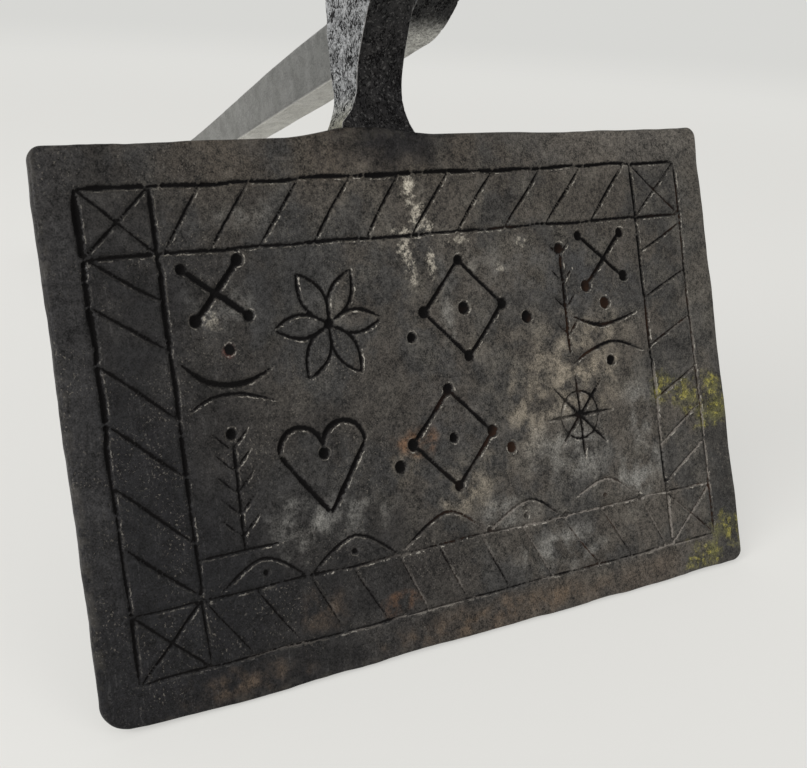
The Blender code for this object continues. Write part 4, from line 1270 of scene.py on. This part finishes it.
def rein_section(z, end):
    """The rein thins and narrows, and ends in a round eye or a small knob."""
    depth = mix(REIN_ROOT_DEPTH, REIN_TIP_DEPTH, blend(REIN_START, REIN_START + REIN_TAPER_LENGTH, z))
    width = mix(ARM_WIDTH, REIN_TIP_WIDTH, blend(REIN_START, REIN_REACH / 2, z))
    low, high = -REIN_OUTER, depth - REIN_OUTER
    corner = mix(NECK_CORNER, REIN_CORNER, blend(REIN_START - CORNER_TURNS, REIN_START + CORNER_TURNS, z))
    if end == "eye" and z > EYE_START:
        circle = math.sqrt(max(EYE_RADIUS**2 - (z - EYE_Z) ** 2, 0.0))
        stem = depth / 2 * (1 - blend(EYE_Z - STEM_ENDS[0], EYE_Z + STEM_ENDS[1], z))
        half = (circle**5 + stem**5) ** 0.2
        low, high = REIN_MIDDLE_Y - half, REIN_MIDDLE_Y + half
    if end == "knob":
        share = min(max((z - REIN_REACH + KNOB_LENGTH) / KNOB_LENGTH, 0), 1)
        swell = KNOB_SWELL * (math.sin(math.pi * min(share / KNOB_CREST, 1)) - share**6)
        width, low, high = width + 2 * swell, low - swell, high + swell
        corner += swell / 2
        rounding = END_ROUNDING * max(0.0, 1 - math.sqrt(max(0.0, (REIN_REACH - z) / END_ROUNDING)))
        width, low, high = width - 2 * rounding, low + rounding, high - rounding
    return width / 2, low, high, corner


def section(z, end):
    """Half width, the two faces' Y and the corners' radius."""
    if z < PLATE_HIGH:
        return tongue_section(z)
    return neck_section(z) if z < REIN_START else rein_section(z, end)


print("section at the plate's edge", [round(value, 4) for value in section(PLATE_HIGH, "eye")])


# %% Rings round a bar
SIDE_STEPS, CORNER_STEPS = 28, 8


def ring_template():
    """For each point of a ring: which corner it belongs to, its angle there, and its share to the next."""
    rows = []
    for quarter in range(4):
        rows += [(quarter, math.pi / 2 * (quarter + i / CORNER_STEPS), 0.0) for i in range(CORNER_STEPS)]
        rows += [(quarter, math.pi / 2 * (quarter + 1), i / SIDE_STEPS) for i in range(SIDE_STEPS)]
    return rows


TEMPLATE = ring_template()
CORNER_SIGNS = ((1, 1), (-1, 1), (-1, -1), (1, -1))


def bar_ring(half_x, low, high, corner, z):
    """Points of a rounded rectangle, anticlockwise from its right side."""
    c = min(corner, half_x * 0.9, (high - low) * 0.45)
    middle, half_y = (low + high) / 2, (high - low) / 2
    centres = [Vector((x * (half_x - c), middle + y * (half_y - c))) for x, y in CORNER_SIGNS]
    front, back = left_spread(z)
    centres[1].x -= back
    centres[2].x -= front
    points = []
    for quarter, angle, share in TEMPLATE:
        out = Vector((math.cos(angle), math.sin(angle))) * c
        spot = (centres[quarter] + out).lerp(centres[(quarter + 1) % 4] + out, share)
        points.append((spot.x - ARM_MIDDLE, spot.y, z))
    return points


def side_share(index):
    """1 on the bar's left and right sides, 0 on its front and back."""
    _, angle, share = TEMPLATE[index]
    return math.cos(angle) ** 2


print(len(TEMPLATE), "points in a ring")


# %% Levels along an arm
SKIN_START, PITTED_END, LAST_RING = 0.0026, 0.052, 0.9985


def keep_outward(mesh):
    """Keeps each point's outward direction, so that a piece which is cut in two still meets at the cut."""
    mesh.attributes.new("outward", "FLOAT_VECTOR", "POINT")
    directions = np.zeros(3 * len(mesh.vertices), np.float32)
    mesh.vertex_normals.foreach_get("vector", directions)
    mesh.attributes["outward"].data.foreach_set("vector", directions)
    return mesh


def levels(end):
    """Close together on the tongue, the flare and the neck, and wider apart on the rein."""
    stop = EYE_START if end == "eye" else REIN_REACH - KNOB_LENGTH
    tongue = [
        np.linspace(PLATE_HIGH - TONGUE_LENGTH, PLATE_HIGH - SKIN_START, 44)[:-1],
        np.linspace(PLATE_HIGH - SKIN_START, PLATE_HIGH, 9)[:-1],
    ]
    foot = [PLATE_HIGH + FLARE_RADIUS * (i / 26) ** 2 for i in range(26)]
    bar = [
        np.linspace(PLATE_HIGH + FLARE_RADIUS, PITTED_END, 240)[:-1],
        np.linspace(PITTED_END, stop, 150)[:-1],
    ]
    tip = [
        np.linspace(stop, REIN_REACH - END_ROUNDING, 24)[:-1],
        [REIN_REACH - END_ROUNDING * (1 - i / 7) ** 2 for i in range(8)],
    ]
    if end == "eye":
        tip = [
            np.linspace(stop, EYE_Z, 26)[:-1],
            [EYE_Z + EYE_RADIUS * math.sin(math.pi / 2 * i / 24) for i in range(24)],
            [EYE_Z + EYE_RADIUS * LAST_RING],
        ]
    return np.concatenate([*tongue, foot, *bar, *tip])


def arm_mesh(name, end):
    heights = levels(end)
    rings = np.array([bar_ring(*section(z, end), z) for z in heights])
    rings[:, :, 0] += np.array([foot_shift(z) for z in heights])[:, None]
    count = len(TEMPLATE)
    first = np.arange(len(heights) - 1)[:, None] * count
    i = np.arange(count)[None, :]
    after = (i + 1) % count
    above = first + count
    quads = np.stack([first + i, first + after, above + after, above + i], axis=2).reshape(-1, 4)
    points = rings.reshape(-1, 3)
    ends = [rings[0].mean(axis=0), rings[-1].mean(axis=0)]
    last = len(points) - count
    faces = quads.tolist()
    faces += [(len(points), (k + 1) % count, k) for k in range(count)]
    faces += [(len(points) + 1, last + k, last + (k + 1) % count) for k in range(count)]
    mesh = bpy.data.meshes.new(name)
    mesh.from_pydata(np.concatenate([points, ends]).tolist(), [], faces)
    sides = np.tile([side_share(k) for k in range(count)], len(heights))
    set_layer(mesh, "side", np.r_[sides, 0, 0])
    set_layer(mesh, "edge", np.r_[np.clip(4 * sides * (1 - sides), 0, 1), 0, 0])
    smooth = [1 - blend(0.02, 0.06, z) for z in heights]
    set_layer(mesh, "pitted", np.r_[np.repeat(smooth, count), 0, 0])
    mesh.shade_smooth()
    return keep_outward(mesh)


print(len(levels("eye")), "levels up to the eye,", len(levels("knob")), "up to the knob")

# %% [markdown]
# ## Geometry nodes as a hammer and as rust
# A second tree gives any forged bar its skin. Broad shallow dishes are the hammer's, and small ragged
# pits, drawn out along the bar, are where scale flaked off. Both only ever go inwards, so no piece grows.

# %% The skin's tree
def skin_tree():
    given, dish_depth, dish_scale, pit_depth, pit_scale, seed, material = open_group(
        "Forged Skin", "GeometryNodeTree", {
            "Geometry": GEOMETRY, "Dish Depth": 0.0003, "Dish Scale": 85.0, "Pit Depth": 0.0003,
            "Pit Scale": 850.0, "Seed": 0.0, "Material": MATERIAL})
    place = made("GeometryNodeInputPosition")
    drawn = vector_calc("MULTIPLY", place, (1.0, 1.0, 0.65))
    ragged = fade(noise(drawn, pit_scale, 3.0, seed=seed), 0.53, 0.64)
    crowded = fade(noise(place, 150.0, seed=seed + 9.0), 0.4, 0.6, 0.35, 1.0)
    sunk = ragged * crowded * read_layer("pitted")
    geometry = store(given, "pit", sunk)
    inward = noise(place, dish_scale, seed=seed) * dish_depth + sunk * pit_depth
    geometry = shift(geometry, vector_calc("SCALE", read_layer("outward", "FLOAT_VECTOR"), inward * -1.0))
    return close_geometry(geometry, material)


SKIN_TREE = skin_tree()
print("skin tree:", len(SKIN_TREE.nodes), "nodes")

# %% [markdown]
# ### The arms' iron
# One bar shows four tones. The neck's front is almost black, and its sides are light grey with dark ragged
# pits: partly rubbed, and partly painted light, as if a lamp lit them from the side. From the crossing up
# the iron is smoother: mid grey on the sides and pale on the faces. The inner face of the half that lies
# open to the floor is palest near the crossing, which is painted light bounced up from the floor. So each
# tone is written twice, for the neck and for the rein, and the two are blended along the bar. Nothing
# changes at the weld, which the smith dressed flush.

# %% Arm finishes
# The neck's side tone is light partly from rubbing and partly as painted light from the side; the front stays
# almost black.
NECK_FACE, NECK_SIDE, NECK_FOOT = (0.0078, 0.0072, 0.0080), (0.262, 0.266, 0.270), (0.215, 0.205, 0.135)
REIN_SIDE, REIN_ROOT = (0.168, 0.168, 0.157), (0.125, 0.126, 0.119)
# The pale face tone is painted light bounced up from the floor, laid on the open half's inner rein face near
# the crossing.
REIN_FACE, PAINTED_FLOOR_LIGHT = (0.215, 0.213, 0.200), (0.66, 0.65, 0.60)
PIT_BLACK = (0.0025, 0.0022, 0.0025)


def arm_tone(spot, inner_tone_and_floor_light):
    """The tones along the bar, how far it is one of the sides, and how far it is the smooth rein."""
    _, depth, along = parts(spot)
    side = fade(layer_value("side"), 0.35, 0.6)
    faded, smooth = fade(along, -0.003, 0.006), fade(along, -0.004, 0.035)
    middle = fade(along, -0.010, 0.030, 0.0040, -0.0095)
    # Where the open half's inner face gets painted floor light: near the crossing, fading out along the rein.
    inner = fade(depth - middle, 0.001, -0.001) * fade_out(along, 0.15, 0.22)
    neck_face = lay(NECK_FACE, grey(0.016), fade(along, -0.020, -0.006))
    face = lay(neck_face, lay(REIN_FACE, inner_tone_and_floor_light, inner), faded)
    rein_side = lay(REIN_ROOT, REIN_SIDE, fade(along, 0.035, 0.120))
    # The sides get their tone here, partly painted light from the side.
    tone = lay(face, lay(NECK_SIDE, rein_side, smooth), side)
    return lay(tone, NECK_FOOT, fade(along, -0.027, -0.038) * side, 0.8), side, faded, smooth


def arm_finish(name, place, inner_tone_and_floor_light):
    """The inner face's tone near the crossing, which for the half open to the floor is painted floor light.
    Further on it turns like the rest.
    """
    material, shader = open_material(name)
    shader.inputs["Specular IOR Level"].default_value = SHEEN
    spot = own_place(place)
    tone, side, faded, smooth = arm_tone(spot, inner_tone_and_floor_light)
    mottle = blotches(spot, 170.0, 6.0, 0.40, 0.66)
    across = made("ShaderNodeMapping", {"Vector": spot, "Scale": (1.0, 0.12, 1.0)})
    tone = lay_all(tone, [
        (grey(0.26, 0.02), blotches(across, 240.0, 3.0, 0.3, 0.7) * smooth * side, 0.22),
        (grey(0.05, 0.06), mottle * fade_out(smooth, 0.0, 1.0, 0.2), 0.22),
    ])
    rough_part = fade_out(smooth, 0.0, 1.0, 0.30)
    grain = grit(spot, 2600.0, rough_part * fade_out(faded, 0.0, 1.0, 0.6))
    fine = pits(spot, 2500.0, 0.55, 0.74)
    holes = calc("MAXIMUM", layer_value("pit") * 0.42, fine)
    glints = blotches(spot, 1500.0, 3.0, 0.56, 0.66) * rough_part * fade_out(side, 0.0, 1.0)
    # A paler broken line along the bar's corners, where the faces meet the sides.
    pale_corner_line = fade(layer_value("edge"), 0.6, 0.97) * fade_out(mottle, 0.0, 1.0, 0.4)
    colour = lay_all(vector_calc("SCALE", tone, grain), [
        (PIT_BLACK, holes * fade_out(parts(spot)[2], -0.007, 0.003, 0.15), 0.94),
        (grey(0.085, 0.03), glints, 0.75), (grey(0.36, 0.02), pale_corner_line, 0.55),
    ])
    height = (grain * 0.00004 - fine * 0.00016) * rough_part - mottle * 0.00005
    finish_iron(shader, colour, height, mottle, (0.4, 0.6), dull=holes * rough_part)
    return material


# The upper half lies open to the floor, so its inner rein face gets the painted floor light.
ARM_IRON = {
    (part_name, half_name): arm_finish(half_name + "_" + part_name + "_iron", place, inner_tone_and_floor_light)
    for half_name, place, inner_tone_and_floor_light in (("lower", LOWER, REIN_FACE), ("upper", UPPER, PAINTED_FLOOR_LIGHT))
    for part_name in ("neck", "rein")
}
print("arm finishes", [material.name for material in ARM_IRON.values()])


# %% Cut the loft in two at the weld
def keep_side(mesh, above):
    """Cuts the loft on the weld's slant, keeps one side and closes it."""
    bm = bmesh.new()
    bm.from_mesh(mesh)
    normal = Vector((0, SCARF_SLOPE, 1)).normalized()
    point = Vector((0, REIN_ROOT_DEPTH / 2 - REIN_OUTER, REIN_START))
    everything = bm.verts[:] + bm.edges[:] + bm.faces[:]
    bmesh.ops.bisect_plane(
        bm, geom=everything, plane_co=point, plane_no=normal, clear_inner=above, clear_outer=not above)
    open_edges = [edge for edge in bm.edges if edge.is_boundary]
    for edge in open_edges:
        edge.smooth = False
    bmesh.ops.contextual_create(bm, geom=open_edges)
    bm.to_mesh(mesh)
    bm.free()
    return mesh


def join_rings(bm, rings, closed=False):
    """Faces from each ring to the next, and over both ends unless the body closes in itself."""
    rows = [[bm.verts.new(point) for point in ring] for ring in rings]
    for low, high in list(zip(rows, rows[1:])) + ([(rows[-1], rows[0])] if closed else []):
        for k in range(len(low)):
            after = (k + 1) % len(low)
            bm.faces.new((low[k], low[after], high[after], high[k]))
    if not closed:
        bm.faces.new(rows[0])
        bm.faces.new(rows[-1])
    bmesh.ops.recalc_face_normals(bm, faces=bm.faces)


def turned_rings(profile, sides, middle=(0.0, 0.0, 0.0)):
    """A ring about X for each (x, radius) of the profile."""
    angles = np.linspace(0, math.tau, sides + 1)[:-1]
    return [
        [(middle[0] + x, middle[1] + r * math.cos(a), middle[2] + r * math.sin(a)) for a in angles]
        for x, r in profile
    ]


HOLE_SIDES = 48
HOLE_STATIONS = ((-0.02, 1.0), (-0.0055, 1.0), (-0.0035, 0.0), (0.0035, 0.0), (0.0055, 1.0), (0.02, 1.0))


def drill(thing, middle, radius, flare=1.0):
    """A round hole along X, right through the piece, wider at both mouths by the flare."""
    profile = [(x, radius * (1 + (flare - 1) * share)) for x, share in HOLE_STATIONS]
    bm = bmesh.new()
    join_rings(bm, turned_rings(profile, HOLE_SIDES, middle))
    cutter = add_thing(thing.name + "_hole", bpy.data.meshes.new(thing.name + "_hole"))
    bm.to_mesh(cutter.data)
    bm.free()
    boolean = thing.modifiers.new("hole", "BOOLEAN")
    boolean.object, boolean.solver = cutter, "EXACT"
    return cutter


# %% Make the arms
def make_arm_part(name, end, above, hole, inputs, place, body, node, slot):
    thing = add_thing(name, keep_side(arm_mesh(name, end), above))
    cutters = [drill(thing, *hole)] if hole else []
    run_tree(thing, SKIN_TREE, **inputs)
    hand_over(thing, place, body, node)
    for cutter in cutters:
        bpy.data.objects.remove(cutter)


RIVET_HOLE = ((-ARM_MIDDLE, 0.0, 0.0), 0.0043)
EYE_HOLE = ((-ARM_MIDDLE, REIN_MIDDLE_Y, EYE_Z), EYE_HOLE_RADIUS, 1.25)
ARM_DISH = 0.00045
for half_name, place, end, seed in (("lower", LOWER, "eye", 3.0), ("upper", UPPER, "knob", 7.0)):
    for part_name, kind, above, hole in (
        ("neck", "_forged", False, RIVET_HOLE), ("rein", "_bar", True, EYE_HOLE if end == "eye" else None),
    ):
        node = half_name + "_" + part_name
        inputs = {"dish_depth": ARM_DISH, "seed": seed, "material": ARM_IRON[part_name, half_name]}
        make_arm_part(
            node + kind, end, above, hole, inputs, place, half_name + "_half", node, part_name + "_iron")

# %% [markdown]
# ## Rivet, rove and closing link
# One rivet holds the halves. Its heads were hammered hot, so each is a turned dome with a few flats that
# the skin tree dishes into it. Under one of them lies a rove, a small ring that saves the arm from the
# hammer. The link at the rein's end is a bent bar, and a bar that follows a path is a node tree.

# %% Turned pieces
RIVET_RADIUS, HEAD_RADIUS, HEAD_HEIGHT = 0.0042, 0.0072, 0.0036
ROVE_RADIUS, ROVE_THICKNESS, ROVE_EDGE, ROVE_PLAY = 0.0076, 0.0016, 0.0004, 0.0001
HEAD_EDGE = ((0.0, 0.0006), (0.0003, 0.0001))
TURN_SIDES = 120


def turned_mesh(name, profile, closed):
    """A body of revolution about X from points (x, radius), given from left to right round the outside."""
    bm = bmesh.new()
    join_rings(bm, turned_rings(profile, TURN_SIDES), closed)
    mesh = bpy.data.meshes.new(name)
    bm.to_mesh(mesh)
    bm.free()
    set_layer(mesh, "pitted", np.full(len(mesh.vertices), 0.8))
    mesh.shade_smooth()
    return keep_outward(mesh)


def dome(start, side):
    """A hammered head from its edge to its middle."""
    edge = [(start + side * x, HEAD_RADIUS - inset) for x, inset in HEAD_EDGE]
    angles = [math.radians(angle) for angle in np.linspace(12, 88, 23)]
    return edge + [(start + side * HEAD_HEIGHT * math.sin(a), HEAD_RADIUS * math.cos(a)) for a in angles]


def rivet_profile():
    left, right = -ARM_OUTER - SEAM, ARM_OUTER + 2 * SEAM + ROVE_THICKNESS
    shank = [(left, RIVET_RADIUS)] + [(mix(left, right, i / 12), RIVET_RADIUS) for i in range(1, 12)]
    return dome(left, -1)[::-1] + shank + [(right, RIVET_RADIUS)] + dome(right, 1)


def rove_profile():
    low, inner, c = ARM_OUTER + SEAM, RIVET_RADIUS + ROVE_PLAY, ROVE_EDGE
    high = low + ROVE_THICKNESS
    outer = [(low, ROVE_RADIUS - c), (low + 0.3 * c, ROVE_RADIUS - 0.3 * c), (low + c, ROVE_RADIUS)]
    outer += [(high - c, ROVE_RADIUS), (high - 0.3 * c, ROVE_RADIUS - 0.3 * c), (high, ROVE_RADIUS - c)]
    face = [mix(ROVE_RADIUS - c, inner, i / 8) for i in range(1, 9)]
    return outer + [(high, r) for r in face] + [(low, r) for r in face[::-1]]


print(len(rivet_profile()), "points round the rivet,", len(rove_profile()), "round the rove")


# %% Small irons' finish
def small_finish(name, place, tone):
    material, shader = open_material(name)
    spot = own_place(place)
    mottle = blotches(spot, 260.0, 6.0, 0.42, 0.62)
    grain = blotches(spot, 1500.0, 4.0, 0.48, 0.66)
    colour = lay_all(tone, [
        (grey(0.028, 0.08), mottle, 0.6), (grey(0.24, 0.03), grain * mottle, 0.3),
        (grey(0.010), layer_value("pit"), 0.8), (grey(0.34, 0.02), scratches(spot, 90.0, 0.6) * grain, 0.6),
    ])
    finish_iron(shader, colour, grain * 0.00003 - mottle * 0.00005, mottle, (0.36, 0.55))
    return material


RIVET_IRON = small_finish("rivet_rubbed_iron", LOWER, grey(0.085, 0.03))
LINK_IRON = small_finish("link_worn_iron", LOWER, grey(0.11, 0.04))
print("small finishes", RIVET_IRON.name, LINK_IRON.name)

# %% Make the rivet and the rove
for name, mesh, depth, node in (
    ("rivet_with_heads", turned_mesh("rivet_with_heads", rivet_profile(), False), 0.0007, "pivot_rivet"),
    ("rove_ring", turned_mesh("rove_ring", rove_profile(), True), 0.0002, "rivet_rove"),
):
    thing = add_thing(name, mesh)
    run_tree(thing, SKIN_TREE, dish_depth=depth, dish_scale=260.0, pit_depth=0.00012, pit_scale=900.0,
             seed=5.0, material=RIVET_IRON)
    hand_over(thing, LOWER, "lower_half", node)

# %% The link's path
LINK_HALF_WIDTH, LINK_CORNER, LINK_DROP = 0.0176, 0.007, 0.0310
LINK_HINGE = Vector(joints["link_swing"]["pos_m"])


def link_wire():
    """The loop's middle line, from the far bar's middle round and back, hanging straight down."""
    corners = (
        (LINK_HALF_WIDTH, -LINK_DROP, -90), (LINK_HALF_WIDTH, 0.0, 0),
        (-LINK_HALF_WIDTH, 0.0, 90), (-LINK_HALF_WIDTH, -LINK_DROP, 180),
    )
    points = [(0.0, 0.0, -LINK_DROP)]
    for x, z, start in corners:
        centre_x = x - math.copysign(LINK_CORNER, x)
        centre_z = z - LINK_CORNER if z == 0 else z + LINK_CORNER
        for i in range(13):
            angle = math.radians(start + 90 * i / 12)
            across, up = LINK_CORNER * math.cos(angle), LINK_CORNER * math.sin(angle)
            points.append((centre_x + across, 0.0, centre_z + up))
    mesh = bpy.data.meshes.new("link_loop")
    mesh.from_pydata(points, [(i, (i + 1) % len(points)) for i in range(len(points))], [])
    return mesh


# %% The bar's tree
def bar_tree():
    """A round bar along a closed path, a little thicker at its weld and flattened by the hammer."""
    given, radius, spacing, swell, thinning, seed, material = open_group("Bent Bar", "GeometryNodeTree", {
        "Geometry": GEOMETRY, "Bar Radius": 0.0026, "Spacing": 0.0005, "Weld Swell": 0.05,
        "Thinning": 0.1, "Seed": 0.0, "Material": MATERIAL})
    path = made("GeometryNodeMeshToCurve", {"Mesh": given})
    path = made("GeometryNodeResampleCurve", {"Curve": path, "Length": spacing}, mode="LENGTH")
    along = made("GeometryNodeSplineParameter", output="Factor")
    weld = fade_out(calc("ABSOLUTE", along - 0.06), 0.0, 0.04)
    thin = noise(made("GeometryNodeInputPosition"), 70.0, seed=seed) * thinning
    circle = made("GeometryNodeCurvePrimitiveCircle", {"Resolution": 28, "Radius": radius})
    geometry = made("GeometryNodeCurveToMesh", {
        "Curve": path, "Profile Curve": circle, "Scale": 1.0 + weld * swell - thin})
    geometry = store(geometry, "pitted", 0.7)
    outward = made("GeometryNodeInputNormal", output="Normal")
    return close_geometry(store(geometry, "outward", outward, "FLOAT_VECTOR"), material)


link = add_thing("link_loop", link_wire())
run_tree(link, bar_tree(), seed=2.0, material=LINK_IRON)
run_tree(link, SKIN_TREE, dish_depth=0.0003, dish_scale=210.0, pit_depth=0.0001, pit_scale=900.0,
         seed=2.0, material=LINK_IRON)
hand_over(link, Matrix.Translation(LINK_HINGE), "closing_link", "closing_link")
